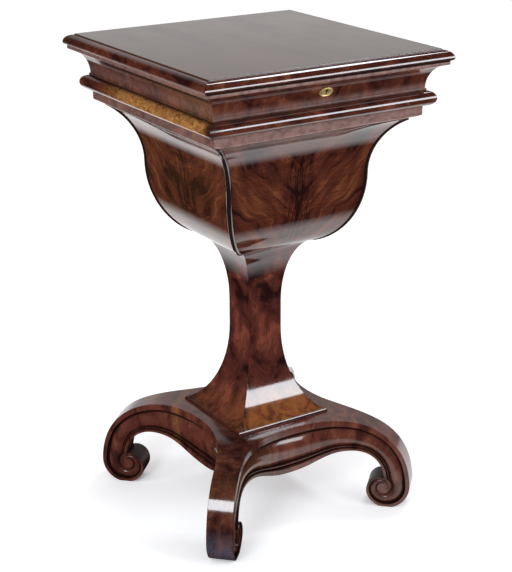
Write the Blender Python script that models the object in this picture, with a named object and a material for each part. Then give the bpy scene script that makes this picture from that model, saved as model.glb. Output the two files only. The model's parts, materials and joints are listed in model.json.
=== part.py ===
"""Work table: a square hinged lid over a moulded case and an ogee body, on a flared
square column and a four-sided base with scroll legs. Metres, +Z up, front towards -Y.
The origin is on the floor, under the middle of the table."""

import bpy
import bmesh
from math import atan2, ceil, cos, degrees, hypot, pi, radians, sin, sqrt
from mathutils import Matrix, Vector

MM = 0.001
GAP = 0.3 * MM  # left between pieces that touch
ROOT2 = sqrt(2)

# Base: a centre block with concave sides, and four legs on its diagonals
BASE_HEIGHT = 156 * MM
SIDE_HALF = 105.5 * MM  # from the table's axis to the middle of a concave side
LEG_HALF_WIDTH = 20.5 * MM
JOINT_RADIUS = 104 * MM  # where a leg leaves the block, along the diagonal
APRON_DEPTH = 80 * MM  # height of the base at the middle of a side
JOINT_RISE = 6 * MM  # how far the lower edge has risen at the leg's joint
ARCH_RADIUS = 167 * MM  # crown of the arch under a leg, along the diagonal
ARCH_HEIGHT = 99.3 * MM
SHOULDER_START = 12 * MM  # flat run of the leg's top outside its joint
VOLUTE_RADIUS = 218.5 * MM  # middle of the scroll, along the diagonal
VOLUTE_SIZE = 45 * MM  # from that middle to the outermost wood
VOLUTE_PITCH = 34.4 * MM  # what the scroll winds in by over one turn
VOLUTE_EYE = 8 * MM
FOOT_FLAT = 0.9 * MM  # depth of the flat worn under a foot
SPIRAL_STEP_ANGLE = 15  # degrees between the scroll's sections
SPIRAL_START_ANGLE = 10  # degrees above level, where the leg's back becomes the scroll
SECTION_LAG_ANGLE = 75  # degrees by which a section's inner end lies behind its outer end
LEG_SECTION_COUNT = 13  # sections of a leg's back before its scroll
GROOVE_DEPTH = 3 * MM
GROOVE_SHARE = 0.035  # half of a groove's width, as a share of the moulded side's height
BORDER_TOP_SHARE = 0.16  # where the upper border ends, down the moulded side
BORDER_FOOT_SHARE = 0.77  # where the lower border begins, down the moulded side
BAND_SWELL = 1.6 * MM  # how far the middle band's edges fall back
EYE_BOSS = 1.5 * MM
DOVETAIL_LENGTH = 18 * MM
DOVETAIL_NECK = 24 * MM
DOVETAIL_FLARE = 8 * MM
DOVETAIL_INSET = 16 * MM  # wood left above and below the dovetail

# Column
COLUMN_HEIGHT = 294 * MM
COLUMN_NECK_HALF = 30.2 * MM
COLUMN_HEAD_HALF = 63 * MM
COLUMN_FOOT_HALF = 83 * MM
NECK_BOTTOM = 144 * MM  # above the base
NECK_TOP = 189 * MM  # above the base
HEAD_LEAD = 7 * MM  # the upper flare stops this far short of level
FOOT_LEAD = 14 * MM  # the lower flare stops this far short of level
TENON_HALF = 20 * MM
TENON_LENGTH = 60 * MM
STRIP_WIDTH = 2.6 * MM
STRIP_HEIGHT = 4 * MM

# Ogee body
BELLY_HEIGHT = 115 * MM
COVE_HEIGHT = 92 * MM
BELLY_HALF = 125 * MM
BELLY_LEAD = 7 * MM
COVE_LEAD = 17.5 * MM
BAND_RECESS = 1.8 * MM  # the band behind the cavetto's foot
BAND_HEIGHT = 16.2 * MM
BAND_ROUND = 3 * MM
PANEL_THICKNESS = 10 * MM
CASE_WALL = 12.5 * MM
BEAD_WIDTH = 7.2 * MM
BEAD_DEPTH = 8 * MM
BEAD_CROWN = 2.6 * MM
BEAD_PROUD = 1.4 * MM  # above the line where the panels' faces would meet
FLOOR_THICKNESS = 10 * MM
HEAD_BLOCK_HEIGHT = 15.4 * MM

# Bullnose shelf and cavetto frieze
BULLNOSE_HEIGHT = 22.6 * MM
BULLNOSE_PROJECTION = 15.1 * MM
BULLNOSE_RUN = 12.1 * MM
FRIEZE_FILLET = 5.9 * MM
FRIEZE_STEP = 1 * MM
CAVETTO_HEIGHT = 36.6 * MM
CAVETTO_DEPTH = 24.5 * MM
CAVETTO_FOOT = 3 * MM
CAVETTO_FOOT_STEP = 1.7 * MM

# Lid
LID_GAP = 0.4 * MM
LID_THICKNESS = 17.3 * MM
LID_HALF = 214.8 * MM  # the frieze, the band and the case inside follow from it
LID_OVERHANG = 5 * MM  # over the frieze
LID_EDGE = 14.1 * MM  # width of the applied moulding
LID_CHAMFER = 0.7 * MM
LID_STEP = 1.9 * MM  # from the lid's top down to its moulding
LID_ROLL_HEIGHT = 3.8 * MM  # where the moulding rolls under
LID_ROLL_RUN = 4.6 * MM

# Butt hinges
HINGE_INSET = 40 * MM  # from the case's inner corner to the middle of a hinge
HINGE_LENGTH = 40 * MM
HINGE_LEAF = 1.3 * MM
HINGE_LEAF_WIDTH = 28 * MM
HINGE_STANDOFF = 2.3 * MM  # pin behind the frieze's back face
KNUCKLE_RADIUS = 2.4 * MM
PIN_RADIUS = 1 * MM
PIN_CLEARANCE = 0.3 * MM
KNUCKLE_CLEARANCE = 0.5 * MM

# Lock
LOCK_HEIGHT = 38 * MM
LOCK_DEPTH = 10.4 * MM
LOCK_WALL = 1.4 * MM
LOCK_ROOM = 2.6 * MM  # left beside the bolt inside its case
SELVEDGE_EAR = 6 * MM  # past each end of the case
SELVEDGE_LIP = 1.6 * MM  # past the case's outer wall
SELVEDGE_THICKNESS = 2.2 * MM
STAPLE_PITCH = 28 * MM
STAPLE_OFFSET = 2 * MM  # the pair's middle beside the keyhole
STAPLE_THICKNESS = 2.2 * MM
STAPLE_WIDTH = 6.4 * MM
STAPLE_DROP = 13 * MM
STAPLE_EYE_WIDTH = 4.2 * MM
STAPLE_EYE_HEIGHT = 5.4 * MM
STAPLE_EYE_RISE = 2.2 * MM  # metal left under the eye
BOLT_THICKNESS = 3 * MM
BOLT_FINGER = 4 * MM  # height of a finger that enters a staple
BOLT_TRAVEL = 6 * MM
BOLT_POST = 4 * MM
BOLT_BAR = 5 * MM
STAPLE_CLEARANCE = 0.6 * MM
KEYHOLE_RADIUS = 1.7 * MM
KEYHOLE_SLOT = 1.8 * MM
KEYHOLE_LENGTH = 7.2 * MM
KEYHOLE_DROP = 18.4 * MM  # middle of the keyhole below the cavetto's upper end
ESCUTCHEON_WIDTH = 27 * MM
ESCUTCHEON_HEIGHT = 14 * MM
ESCUTCHEON_THICKNESS = 1.6 * MM
ESCUTCHEON_LOBES = 14
ESCUTCHEON_SCALLOP = 0.45 * MM

# Sliding till on its ledgers
LEDGER_WIDTH = 11.4 * MM
LEDGER_HEIGHT = 12 * MM
LEDGER_DROP = 16 * MM  # ledger's top below the frieze's foot
LEDGER_END = 5 * MM
TILL_DEPTH = 165 * MM
TILL_HEIGHT = 48 * MM
TILL_WALL = 6 * MM
TILL_FLOOR = 5 * MM
TILL_DIVIDER = 4 * MM
TILL_CLEARANCE = 0.6 * MM
TILL_DIVIDER_DROP = 6 * MM
FRONT_ROW_DEPTH = 95 * MM

# Levels, from the floor up
COLUMN_TOP = BASE_HEIGHT + COLUMN_HEIGHT
BODY_BOTTOM = COLUMN_TOP + GAP
WAIST = BODY_BOTTOM + BELLY_HEIGHT
BAND_BOTTOM = WAIST + COVE_HEIGHT
BAND_TOP = BAND_BOTTOM + BAND_HEIGHT
BULLNOSE_BOTTOM = BAND_TOP + GAP
BULLNOSE_TOP = BULLNOSE_BOTTOM + BULLNOSE_HEIGHT
FRIEZE_BOTTOM = BULLNOSE_TOP + GAP
CAVETTO_BOTTOM = FRIEZE_BOTTOM + CAVETTO_FOOT
CAVETTO_TOP = CAVETTO_BOTTOM + CAVETTO_HEIGHT
FRIEZE_TOP = CAVETTO_TOP + FRIEZE_FILLET
LID_BOTTOM = FRIEZE_TOP + LID_GAP
LID_TOP = LID_BOTTOM + LID_THICKNESS

# Half widths, from the lid inwards
LID_FLAT_HALF = LID_HALF - LID_EDGE
FRIEZE_HALF = LID_HALF - LID_OVERHANG
CAVETTO_HALF = FRIEZE_HALF - FRIEZE_STEP - CAVETTO_DEPTH  # at the cavetto's foot
BAND_HALF = CAVETTO_HALF - BAND_RECESS
CASE_HALF = BAND_HALF - CASE_WALL  # clear inside of the case

# Places that pieces share
INNER_TURN = (360 - SECTION_LAG_ANGLE) // SPIRAL_STEP_ANGLE  # sections to the next turn inwards
HINGE_X = CASE_HALF - HINGE_INSET
HINGE_Y = FRIEZE_HALF + HINGE_STANDOFF
HINGE_Z = FRIEZE_TOP + LID_GAP / 2
KEYHOLE_Z = CAVETTO_TOP - KEYHOLE_DROP
LEDGER_TOP = FRIEZE_BOTTOM - LEDGER_DROP
MITRE_GAP = GAP / ROOT2  # pulls a mitre back so that a pair keeps GAP between them
LOCK_FACE = -CASE_HALF - GAP  # inner face of the lock, just inside the frieze's own face
LOCK_BACK = LOCK_FACE - LOCK_DEPTH
LOCK_MIDDLE = (LOCK_FACE + LOCK_BACK) / 2
SELVEDGE_BOTTOM = FRIEZE_TOP - SELVEDGE_THICKNESS
CASE_TOP = SELVEDGE_BOTTOM - GAP
CASE_FLOOR = CASE_TOP - LOCK_HEIGHT
STAPLE_TIP = LID_BOTTOM - STAPLE_DROP
STAPLE_MIDDLES = (STAPLE_OFFSET - STAPLE_PITCH / 2, STAPLE_OFFSET + STAPLE_PITCH / 2)
STAPLE_SLOT_HALF = STAPLE_THICKNESS / 2 + STAPLE_CLEARANCE
BOLT_TIPS = tuple(middle - STAPLE_SLOT_HALF for middle in STAPLE_MIDDLES)  # bolt drawn back
BOLT_POSTS = tuple(tip - BOLT_TRAVEL - GAP for tip in BOLT_TIPS)
BOLT_LEFT = BOLT_POSTS[0] - BOLT_POST
LOCK_HALF = LOCK_WALL + LOCK_ROOM - BOLT_LEFT
SELVEDGE_HALF = LOCK_HALF + SELVEDGE_EAR

# Names by quarter turns about the table's axis: sides from the front, corners from between
# the right side and the back
SIDES = ("front", "right", "back", "left")
CORNERS = ("back_right", "back_left", "front_left", "front_right")


def side_turns():
    """Each side's name and its turn in degrees from the front."""
    return [(side, 90 * i) for i, side in enumerate(SIDES)]


def corner_turns():
    """Each corner's name and its diagonal's angle in degrees from +X."""
    return [(corner, 45 + 90 * i) for i, corner in enumerate(CORNERS)]


def clear_scene():
    for obj in list(bpy.data.objects):
        bpy.data.objects.remove(obj, do_unlink=True)


def material(name, colour, roughness, metallic=0.0):
    made = bpy.data.materials.new(name)
    made.use_nodes = True
    shader = made.node_tree.nodes["Principled BSDF"]
    shader.inputs["Base Color"].default_value = (*colour, 1)
    shader.inputs["Roughness"].default_value = roughness
    shader.inputs["Metallic"].default_value = metallic
    return made


def empty(name, location=(0, 0, 0), parent=None):
    made = bpy.data.objects.new(name, None)
    made.empty_display_size = 40 * MM
    made.location = location
    if parent:
        made.parent = parent
    bpy.context.scene.collection.objects.link(made)
    return made


def mesh_from(bm, name):
    """A mesh whose faces point out, smooth but for its sharp edges."""
    bmesh.ops.recalc_face_normals(bm, faces=bm.faces)
    mesh = bpy.data.meshes.new(name)
    bm.to_mesh(mesh)
    bm.free()
    mesh.shade_smooth()
    mesh.set_sharp_from_angle(angle=radians(32))
    return mesh


def piece(name, mesh, finish, parent, turn=0):
    """An object of this mesh, turned about the table's axis and carried by parent."""
    if not mesh.materials:
        mesh.materials.append(finish)
    made = bpy.data.objects.new(name, mesh)
    made.rotation_euler.z = radians(turn)
    made.parent = parent
    made.location = -parent.location
    bpy.context.scene.collection.objects.link(made)
    return made


def helper(name, mesh):
    made = bpy.data.objects.new(name, mesh)
    made.hide_render = True
    made.display_type = "WIRE"
    bpy.context.scene.collection.objects.link(made)
    return made


def boolean(obj, other, operation="DIFFERENCE"):
    modifier = obj.modifiers.new(other.name, "BOOLEAN")
    modifier.operation = operation
    modifier.object = other


def box_mesh(name, low, high):
    bm = bmesh.new()
    bmesh.ops.create_cube(bm, size=1)
    low = Vector(low)
    high = Vector(high)
    for vert in bm.verts:
        share = vert.co + Vector((0.5, 0.5, 0.5))
        vert.co = Vector(low[i] + (high[i] - low[i]) * share[i] for i in range(3))
    return mesh_from(bm, name)


def rod_mesh(name, centre, radius, length, sides=20):
    """A round rod along X, on centre = (x, y, z)."""
    bm = bmesh.new()
    place = Matrix.Translation(centre) @ Matrix.Rotation(pi / 2, 4, "Y")
    bmesh.ops.create_cone(bm, cap_ends=True, segments=sides, radius1=radius,
                          radius2=radius, depth=length, matrix=place)
    return mesh_from(bm, name)


def extruded_mesh(name, outline, place, depth):
    """A flat outline, put in space by place(point), extruded by the vector depth."""
    bm = bmesh.new()
    face = bm.faces.new([bm.verts.new(place(point)) for point in outline])
    grown = bmesh.ops.extrude_face_region(bm, geom=[face])
    verts = [item for item in grown["geom"] if isinstance(item, bmesh.types.BMVert)]
    bmesh.ops.translate(bm, verts=verts, vec=depth)
    return mesh_from(bm, name)


def ellipse_arc(centre, radii, start, end, steps):
    """Points on an ellipse, from the angle start to the angle end in degrees."""
    points = []
    for i in range(steps + 1):
        angle = radians(start + (end - start) * i / steps)
        points.append((centre[0] + radii[0] * cos(angle), centre[1] + radii[1] * sin(angle)))
    return points


def bezier(start, lead_out, lead_in, end, steps):
    """Points on one cubic curve, with both ends."""
    points = []
    for i in range(steps + 1):
        t = i / steps
        share = ((1 - t) ** 3, 3 * t * (1 - t) ** 2, 3 * t * t * (1 - t), t ** 3)
        knots = (start, lead_out, lead_in, end)
        points.append(tuple(sum(s * k[j] for s, k in zip(share, knots)) for j in (0, 1)))
    return points


def mitred_mesh(name, profile):
    """The front run of a square moulding. A profile point is (out, z), and both ends are
    mitred to meet the next runs."""
    bm = bmesh.new()
    face = bm.faces.new([bm.verts.new((MITRE_GAP - out, -out, z)) for out, z in profile])
    grown = bmesh.ops.extrude_face_region(bm, geom=[face])
    for item in grown["geom"]:
        if isinstance(item, bmesh.types.BMVert):
            item.co.x = -item.co.x
    return mesh_from(bm, name)


def four_sides(stem, mesh, finish, parent):
    """The same run on each side of the square, by the name of its side."""
    return {side: piece(f"{stem}_{side}", mesh, finish, parent, turn)
            for side, turn in side_turns()}


# Base

def side_arc():
    """Radius of a concave side, and how far its middle lies from the table's axis: the
    arc is level at the middle of the side and runs out along the leg."""
    radius = (SIDE_HALF / ROOT2 - LEG_HALF_WIDTH) / (1 - 1 / ROOT2)
    return radius, SIDE_HALF + radius


def leg_half_width(out):
    radius, centre = side_arc()
    middle = centre / ROOT2
    if out >= middle:
        return LEG_HALF_WIDTH
    return middle - sqrt(radius ** 2 - (middle - out) ** 2)


def side_section():
    """(share of the way from the upper to the lower edge, depth) across a moulded side: a
    border, a groove, the swelling band in the middle, a groove and the lower border."""
    first = BORDER_TOP_SHARE + 2 * GROOVE_SHARE
    last = BORDER_FOOT_SHARE - 2 * GROOVE_SHARE
    return [
        (0, 0),
        (BORDER_TOP_SHARE, 0),
        (BORDER_TOP_SHARE + GROOVE_SHARE, GROOVE_DEPTH),
        (first, BAND_SWELL),
        (first + (last - first) * 0.25, BAND_SWELL * 0.3),
        (first + (last - first) * 0.5, 0),
        (first + (last - first) * 0.75, BAND_SWELL * 0.3),
        (last, BAND_SWELL),
        (last + GROOVE_SHARE, GROOVE_DEPTH),
        (BORDER_FOOT_SHARE, 0),
        (1, 0),
    ]


def spiral_point(step, radius=None):
    """A point of the scroll's edge, so many sections after its start."""
    angle = radians(SPIRAL_START_ANGLE - SPIRAL_STEP_ANGLE * step)
    if radius is None:
        radius = spiral_radius(step)
    return VOLUTE_RADIUS + radius * cos(angle), volute_height() + radius * sin(angle)


def spiral_radius(step):
    return max(VOLUTE_SIZE - VOLUTE_PITCH * SPIRAL_STEP_ANGLE * step / 360, VOLUTE_EYE)


def volute_height():
    """The scroll's middle, so that its lowest wood is FOOT_FLAT under the floor."""
    return spiral_radius((90 + SPIRAL_START_ANGLE) / SPIRAL_STEP_ANGLE) - FOOT_FLAT


def spiral_steps():
    """Sections until the scroll's edge reaches its eye."""
    return ceil((VOLUTE_SIZE - VOLUTE_EYE) / VOLUTE_PITCH * 360 / SPIRAL_STEP_ANGLE)


def lower_edge(out):
    """Height of the base's lower edge at its joint with a leg, or nearer the middle."""
    middle = SIDE_HALF / ROOT2
    share = (out - middle) / (JOINT_RADIUS - middle)
    return BASE_HEIGHT - APRON_DEPTH + JOINT_RISE * share ** 2


def leg_edges():
    """The leg's back and its arch, as matched points from the joint to the scroll."""
    joint = JOINT_RADIUS + GAP / 2
    flat = (joint + SHOULDER_START, BASE_HEIGHT)
    start = spiral_point(0)
    reach = start[0] - flat[0]
    fall = BASE_HEIGHT - start[1]
    lean = (start[0] - 0.03 * reach, start[1] + 0.71 * fall)
    back = [(joint, BASE_HEIGHT)]
    shoulder = (flat[0] + 0.59 * reach, BASE_HEIGHT)
    back += bezier(flat, shoulder, lean, start, LEG_SECTION_COUNT - 1)
    foot = (joint, lower_edge(JOINT_RADIUS))
    crown = (ARCH_RADIUS, ARCH_HEIGHT)
    notch = spiral_point(INNER_TURN)
    span = crown[0] - foot[0]
    rise = crown[1] - foot[1]
    half = LEG_SECTION_COUNT // 2 + 1
    arch = bezier(foot, (foot[0] + 0.4 * span, foot[1] + 0.65 * rise),
                  (crown[0] - 0.42 * span, crown[1]), crown, half - 1)
    over = notch[0] - crown[0]
    drop = crown[1] - notch[1]
    arch += bezier(crown, (crown[0] + 0.56 * over, crown[1]),
                   (notch[0] - 0.05 * over, notch[1] + 0.66 * drop), notch, len(back) - half)[1:]
    return back, arch


def straight_section(outer, inner, section):
    return [(outer[0] + (inner[0] - outer[0]) * t, outer[1] + (inner[1] - outer[1]) * t)
            for t, _ in section]


def scroll_section(step, section):
    """Points across the scroll. Near its eye they turn with the scroll."""
    outer = spiral_point(step)
    inner = spiral_point(step + INNER_TURN)
    straight = straight_section(outer, inner, section)
    turned = min(1, step / 8)
    first = spiral_radius(step)
    last = spiral_radius(step + INNER_TURN)
    points = []
    for (t, _), (x, z) in zip(section, straight):
        round_x, round_z = spiral_point(step - t * SECTION_LAG_ANGLE / SPIRAL_STEP_ANGLE,
                                        first + (last - first) * t)
        points.append((x + (round_x - x) * turned, z + (round_z - z) * turned))
    return points


def leg_sections():
    """Rows of (x, z, depth) points across the leg, from the joint to the scroll's eye."""
    section = side_section()
    rows = []
    back, arch = leg_edges()
    for outer, inner in list(zip(back, arch))[:-1]:
        points = straight_section(outer, inner, section)
        rows.append([(x, z, depth) for (x, z), (_, depth) in zip(points, section)])
    full = VOLUTE_SIZE - spiral_radius(INNER_TURN)
    for step in range(spiral_steps() + 1):
        width = spiral_radius(step) - spiral_radius(step + INNER_TURN)
        points = scroll_section(step, section)
        rows.append([(x, z, depth * width / full)
                     for (x, z), (_, depth) in zip(points, section)])
    return rows, len(back) - 1


def leg_mesh():
    """A leg along +X: the moulded strip winds into its scroll, and each inner edge of the
    scroll is the outer edge of the next turn."""
    rows, start = leg_sections()
    bm = bmesh.new()
    grids = [leg_side(bm, rows, start, side) for side in (1, -1)]
    for near in grids:
        for first, second in zip(near, near[1:]):
            for j in range(len(first) - 1):
                ring = [first[j], first[j + 1], second[j + 1], second[j]]
                corners = list(dict.fromkeys(ring))
                bm.faces.new(corners)
        close_eye(bm, near)
    left, right = grids
    close_rim(bm, left, right, start)
    return mesh_from(bm, "leg")


def leg_side(bm, rows, start, side):
    """The vertices of one moulded face, with those shared by two turns made once."""
    grid = []
    for row in rows:
        verts = []
        for x, z, depth in row[:-1]:
            half = leg_half_width(x) - depth
            verts.append(bm.verts.new((x, side * half, max(z, 0))))
        grid.append(verts)
    for index, row in enumerate(rows):
        shared = index + INNER_TURN
        if index >= start and shared < len(rows):
            grid[index].append(grid[shared][0])
        else:
            x, z, depth = row[-1]
            half = leg_half_width(x) - depth
            grid[index].append(bm.verts.new((x, side * half, z)))
    return grid


def close_eye(bm, grid):
    """A low boss over the round end of the scroll."""
    shared = len(grid) - 1 - INNER_TURN
    loop = [row[-1] for row in grid[shared:]]
    loop += grid[-1][-2:0:-1]
    side = 1 if loop[0].co.y > 0 else -1
    middle = bm.verts.new((VOLUTE_RADIUS, side * (LEG_HALF_WIDTH + EYE_BOSS), volute_height()))
    for first, second in zip(loop, loop[1:] + loop[:1]):
        bm.faces.new((first, second, middle))


def close_rim(bm, left, right, start):
    """The leg's back, the outside of the scroll, the arch and the joint's face."""
    notch = start + INNER_TURN
    back = [(left[i][0], right[i][0]) for i in range(notch + 1)]
    arch = [(left[i][-1], right[i][-1]) for i in range(start + 1)]
    for edge in (back, arch):
        for (a, b), (c, d) in zip(edge, edge[1:]):
            bm.faces.new((a, b, d, c))
    joint = list(zip(left[0], right[0]))
    for (a, b), (c, d) in zip(joint, joint[1:]):
        bm.faces.new((a, b, d, c))


def dovetail_mesh(name, clearance=0.0):
    """The tongue on a leg's inner end, or the socket for it, along +X."""
    inner = JOINT_RADIUS - DOVETAIL_LENGTH - clearance
    outer = JOINT_RADIUS + GAP + clearance
    neck = DOVETAIL_NECK / 2 + clearance
    wide = neck + DOVETAIL_FLARE / 2
    low = BASE_HEIGHT - APRON_DEPTH + DOVETAIL_INSET - clearance
    high = BASE_HEIGHT - DOVETAIL_INSET + clearance
    outline = [(inner, -wide), (outer, -neck), (outer, neck), (inner, wide)]
    return extruded_mesh(name, outline, lambda p: (p[0], p[1], low), (0, 0, high - low))


def block_rows():
    """Rows of points down the moulded sides of the block, once round it."""
    radius, centre = side_arc()
    joint = JOINT_RADIUS - GAP / 2
    half = leg_half_width(joint)
    reach = degrees(atan2((joint - half) / ROOT2, centre - (joint + half) / ROOT2))
    steps = 8
    rows = []
    for _, turn in side_turns():
        for i in range(steps + 1):
            share = 2 * i / steps - 1
            angle = radians(reach * share)
            lean = radians(45 * share)  # the relief's own slant, square to the leg at its joint
            x = radius * sin(angle)
            out = centre - radius * cos(angle)
            low = lower_edge((abs(x) + out) / ROOT2)
            row = []
            for down, depth in side_section():
                z = BASE_HEIGHT + (low - BASE_HEIGHT) * down
                spot = Vector((x - depth * sin(lean), -out + depth * cos(lean), z))
                row.append(Matrix.Rotation(radians(turn), 3, "Z") @ spot)
            rows.append(row)
    return rows


def base_block_mesh():
    bm = bmesh.new()
    rows = [[bm.verts.new(spot) for spot in row] for row in block_rows()]
    for first, second in zip(rows, rows[1:] + rows[:1]):
        for j in range(len(first) - 1):
            bm.faces.new((first[j], second[j], second[j + 1], first[j + 1]))
    for index, level in ((0, BASE_HEIGHT), (-1, BASE_HEIGHT - APRON_DEPTH)):
        middle = bm.verts.new((0, 0, level))
        for first, second in zip(rows, rows[1:] + rows[:1]):
            bm.faces.new((first[index], second[index], middle))
    return mesh_from(bm, "base_block")


def add_base(finish, parent):
    block = piece("base_block", base_block_mesh(), finish, parent)
    reach = TENON_HALF + GAP
    depth = BASE_HEIGHT - TENON_LENGTH - GAP
    mortise = box_mesh("mortise", (-reach, -reach, depth), (reach, reach, BASE_HEIGHT + reach))
    boolean(block, helper("mortise", mortise))
    mesh = leg_mesh()
    tongue = dovetail_mesh("tongue")
    socket = dovetail_mesh("socket", GAP)
    for corner, turn in corner_turns():
        leg = piece(f"leg_{corner}", mesh, finish, parent, turn)
        dovetail = helper(f"tongue_{corner}", tongue)
        dovetail.rotation_euler.z = radians(turn)
        boolean(leg, dovetail, "UNION")
        recess = helper(f"socket_{corner}", socket)
        recess.rotation_euler.z = radians(turn)
        boolean(block, recess)


# Column

def flare_height(run, lead, rise):
    """Half-height of an ellipse that climbs by rise while it still lacks lead of its run."""
    return rise / sqrt(1 - (lead / run) ** 2)


def column_profile():
    """(half width, z) up one face: foot, lower flare, neck, upper flare."""
    foot = BASE_HEIGHT + GAP + STRIP_HEIGHT
    neck_bottom = BASE_HEIGHT + NECK_BOTTOM
    neck_top = BASE_HEIGHT + NECK_TOP
    run = COLUMN_FOOT_HALF + FOOT_LEAD - COLUMN_NECK_HALF
    height = flare_height(run, FOOT_LEAD, neck_bottom - foot)
    from_level = degrees(atan2((neck_bottom - foot) / height, FOOT_LEAD / run))
    profile = [(COLUMN_FOOT_HALF, BASE_HEIGHT + GAP)]
    profile += ellipse_arc((COLUMN_NECK_HALF + run, neck_bottom), (run, height),
                           180 + from_level, 180, 14)
    run = COLUMN_HEAD_HALF + HEAD_LEAD - COLUMN_NECK_HALF
    height = flare_height(run, HEAD_LEAD, COLUMN_TOP - neck_top)
    from_level = degrees(atan2((COLUMN_TOP - neck_top) / height, HEAD_LEAD / run))
    profile += ellipse_arc((COLUMN_NECK_HALF + run, neck_top), (run, height),
                           180, 180 - from_level, 14)
    return profile


def square_loft_mesh(name, profile):
    """A square shaft through the profile's half widths, closed at both ends."""
    bm = bmesh.new()
    rings = []
    for half, z in profile:
        corners = ((-half, -half), (half, -half), (half, half), (-half, half))
        rings.append([bm.verts.new((x, y, z)) for x, y in corners])
    for low, high in zip(rings, rings[1:]):
        for j in range(4):
            bm.faces.new((low[j], low[j - 1], high[j - 1], high[j]))
    bm.faces.new(rings[0])
    bm.faces.new(rings[-1])
    return mesh_from(bm, name)


def add_column(finish, trim, parent):
    tenon = [(TENON_HALF, BASE_HEIGHT - TENON_LENGTH), (TENON_HALF, BASE_HEIGHT + GAP)]
    piece("column", square_loft_mesh("column", tenon + column_profile()), finish, parent)
    low = BASE_HEIGHT + GAP
    inner = COLUMN_FOOT_HALF + GAP
    outer = inner + STRIP_WIDTH
    profile = [(inner, low), (outer, low), (outer, low + STRIP_HEIGHT * 0.3),
               (inner + STRIP_WIDTH * 0.25, low + STRIP_HEIGHT), (inner, low + STRIP_HEIGHT)]
    four_sides("foot_strip", mitred_mesh("foot_strip", profile), trim, parent)


# Ogee body

def ogee_profile():
    """(out, z) down the outside of a panel, from the band's lower edge to the column."""
    start = BAND_HALF - BAND_ROUND
    middle = BAND_HALF + COVE_LEAD
    run = middle - BELLY_HALF
    height = flare_height(run, middle - start, COVE_HEIGHT)
    angle = degrees(atan2(COVE_HEIGHT / height, (middle - start) / run))
    profile = ellipse_arc((middle, WAIST), (run, height), 180 - angle, 180, 16)
    middle = COLUMN_HEAD_HALF - BELLY_LEAD
    run = BELLY_HALF - middle
    height = flare_height(run, BELLY_LEAD, BELLY_HEIGHT)
    angle = degrees(atan2(BELLY_HEIGHT / height, BELLY_LEAD / run))
    profile += ellipse_arc((middle, WAIST), (run, height), 0, -angle, 18)[1:]
    return profile


def normals(points):
    """A unit vector square to the line at each point, on its right-hand side going down."""
    found = []
    for i in range(len(points)):
        before = points[max(i - 1, 0)]
        after = points[min(i + 1, len(points) - 1)]
        run = after[0] - before[0]
        fall = before[1] - after[1]
        length = hypot(run, fall)
        found.append((fall / length, run / length))
    return found


def panel_lines():
    """Matched points down the outside and the inside of a body panel."""
    corner = (BAND_HALF - BAND_ROUND, BAND_BOTTOM + BAND_ROUND)
    band = [(BAND_HALF, BAND_TOP)] + ellipse_arc(corner, (BAND_ROUND, BAND_ROUND), 0, -90, 4)
    ogee = ogee_profile()
    inside = [(min(out - nx * PANEL_THICKNESS, CASE_HALF), z - nz * PANEL_THICKNESS)
              for (out, z), (nx, nz) in zip(ogee, normals(ogee))]
    top = BAND_TOP
    step = (top - inside[0][1]) / len(band)
    behind = [(CASE_HALF, top - step * i) for i in range(len(band))]
    return band[:-1] + ogee, behind[:-1] + inside


def panel_mesh():
    """The front panel. Below its band the ends leave a slot for the corner beads."""
    outside, inside = panel_lines()
    slot = (BEAD_WIDTH / 2 + GAP) * ROOT2
    bm = bmesh.new()
    rings = []
    for outer, inner in zip(outside, inside):
        back = slot if outer[1] < BAND_BOTTOM + BAND_ROUND / 2 else MITRE_GAP
        ring = [(back - outer[0], outer), (outer[0] - back, outer),
                (inner[0] - back, inner), (back - inner[0], inner)]
        rings.append([bm.verts.new((x, -out, z)) for x, (out, z) in ring])
    for high, low in zip(rings, rings[1:]):
        for j in range(4):
            bm.faces.new((high[j], high[j - 1], low[j - 1], low[j]))
    bm.faces.new(rings[0])
    bm.faces.new(rings[-1])
    return mesh_from(bm, "body_panel")


def bead_section():
    """(across, out) round the bead: a half-round crown on a square tail."""
    half = BEAD_WIDTH / 2
    crown = ellipse_arc((0, BEAD_PROUD - BEAD_CROWN), (half, BEAD_CROWN), 180, 0, 4)
    return crown + [(half, -BEAD_DEPTH), (-half, -BEAD_DEPTH)]


def bead_mesh():
    """A corner bead in the XZ plane, down the mitre between two panels."""
    line = [(out * ROOT2, z) for out, z in ogee_profile()][2:]
    bm = bmesh.new()
    rings = []
    for (x, z), (nx, nz) in zip(line, normals(line)):
        rings.append([bm.verts.new((x + nx * out, across, z + nz * out))
                      for across, out in bead_section()])
    count = len(rings[0])
    for high, low in zip(rings, rings[1:]):
        for j in range(count):
            bm.faces.new((high[j], high[j - 1], low[j - 1], low[j]))
    for vert in rings[-1]:
        vert.co.z = max(vert.co.z, BODY_BOTTOM)
    bm.faces.new(rings[0])
    bm.faces.new(rings[-1])
    return mesh_from(bm, "corner_bead")


def inside_at(z):
    """Clear half width of the body at a height below its waist."""
    _, inside = panel_lines()
    for (out_a, z_a), (out_b, z_b) in zip(inside, inside[1:]):
        if z_b <= z <= z_a:
            return out_b + (out_a - out_b) * (z - z_b) / (z_a - z_b)
    return inside[-1][0]


def add_body(veneer, bead, plain, parent):
    four_sides("body_panel", panel_mesh(), veneer, parent)
    mesh = bead_mesh()
    for corner, turn in corner_turns():
        piece(f"corner_bead_{corner}", mesh, bead, parent, turn)
    half = panel_lines()[1][-1][0] - GAP
    top = BODY_BOTTOM + HEAD_BLOCK_HEIGHT
    block = box_mesh("column_head_block", (-half, -half, BODY_BOTTOM), (half, half, top))
    piece("column_head_block", block, plain, parent)
    low = top + GAP
    half = inside_at(low) - GAP
    floor = box_mesh("body_floor", (-half, -half, low), (half, half, low + FLOOR_THICKNESS))
    piece("body_floor", floor, plain, parent)


# Case: bullnose shelf and cavetto frieze

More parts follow.
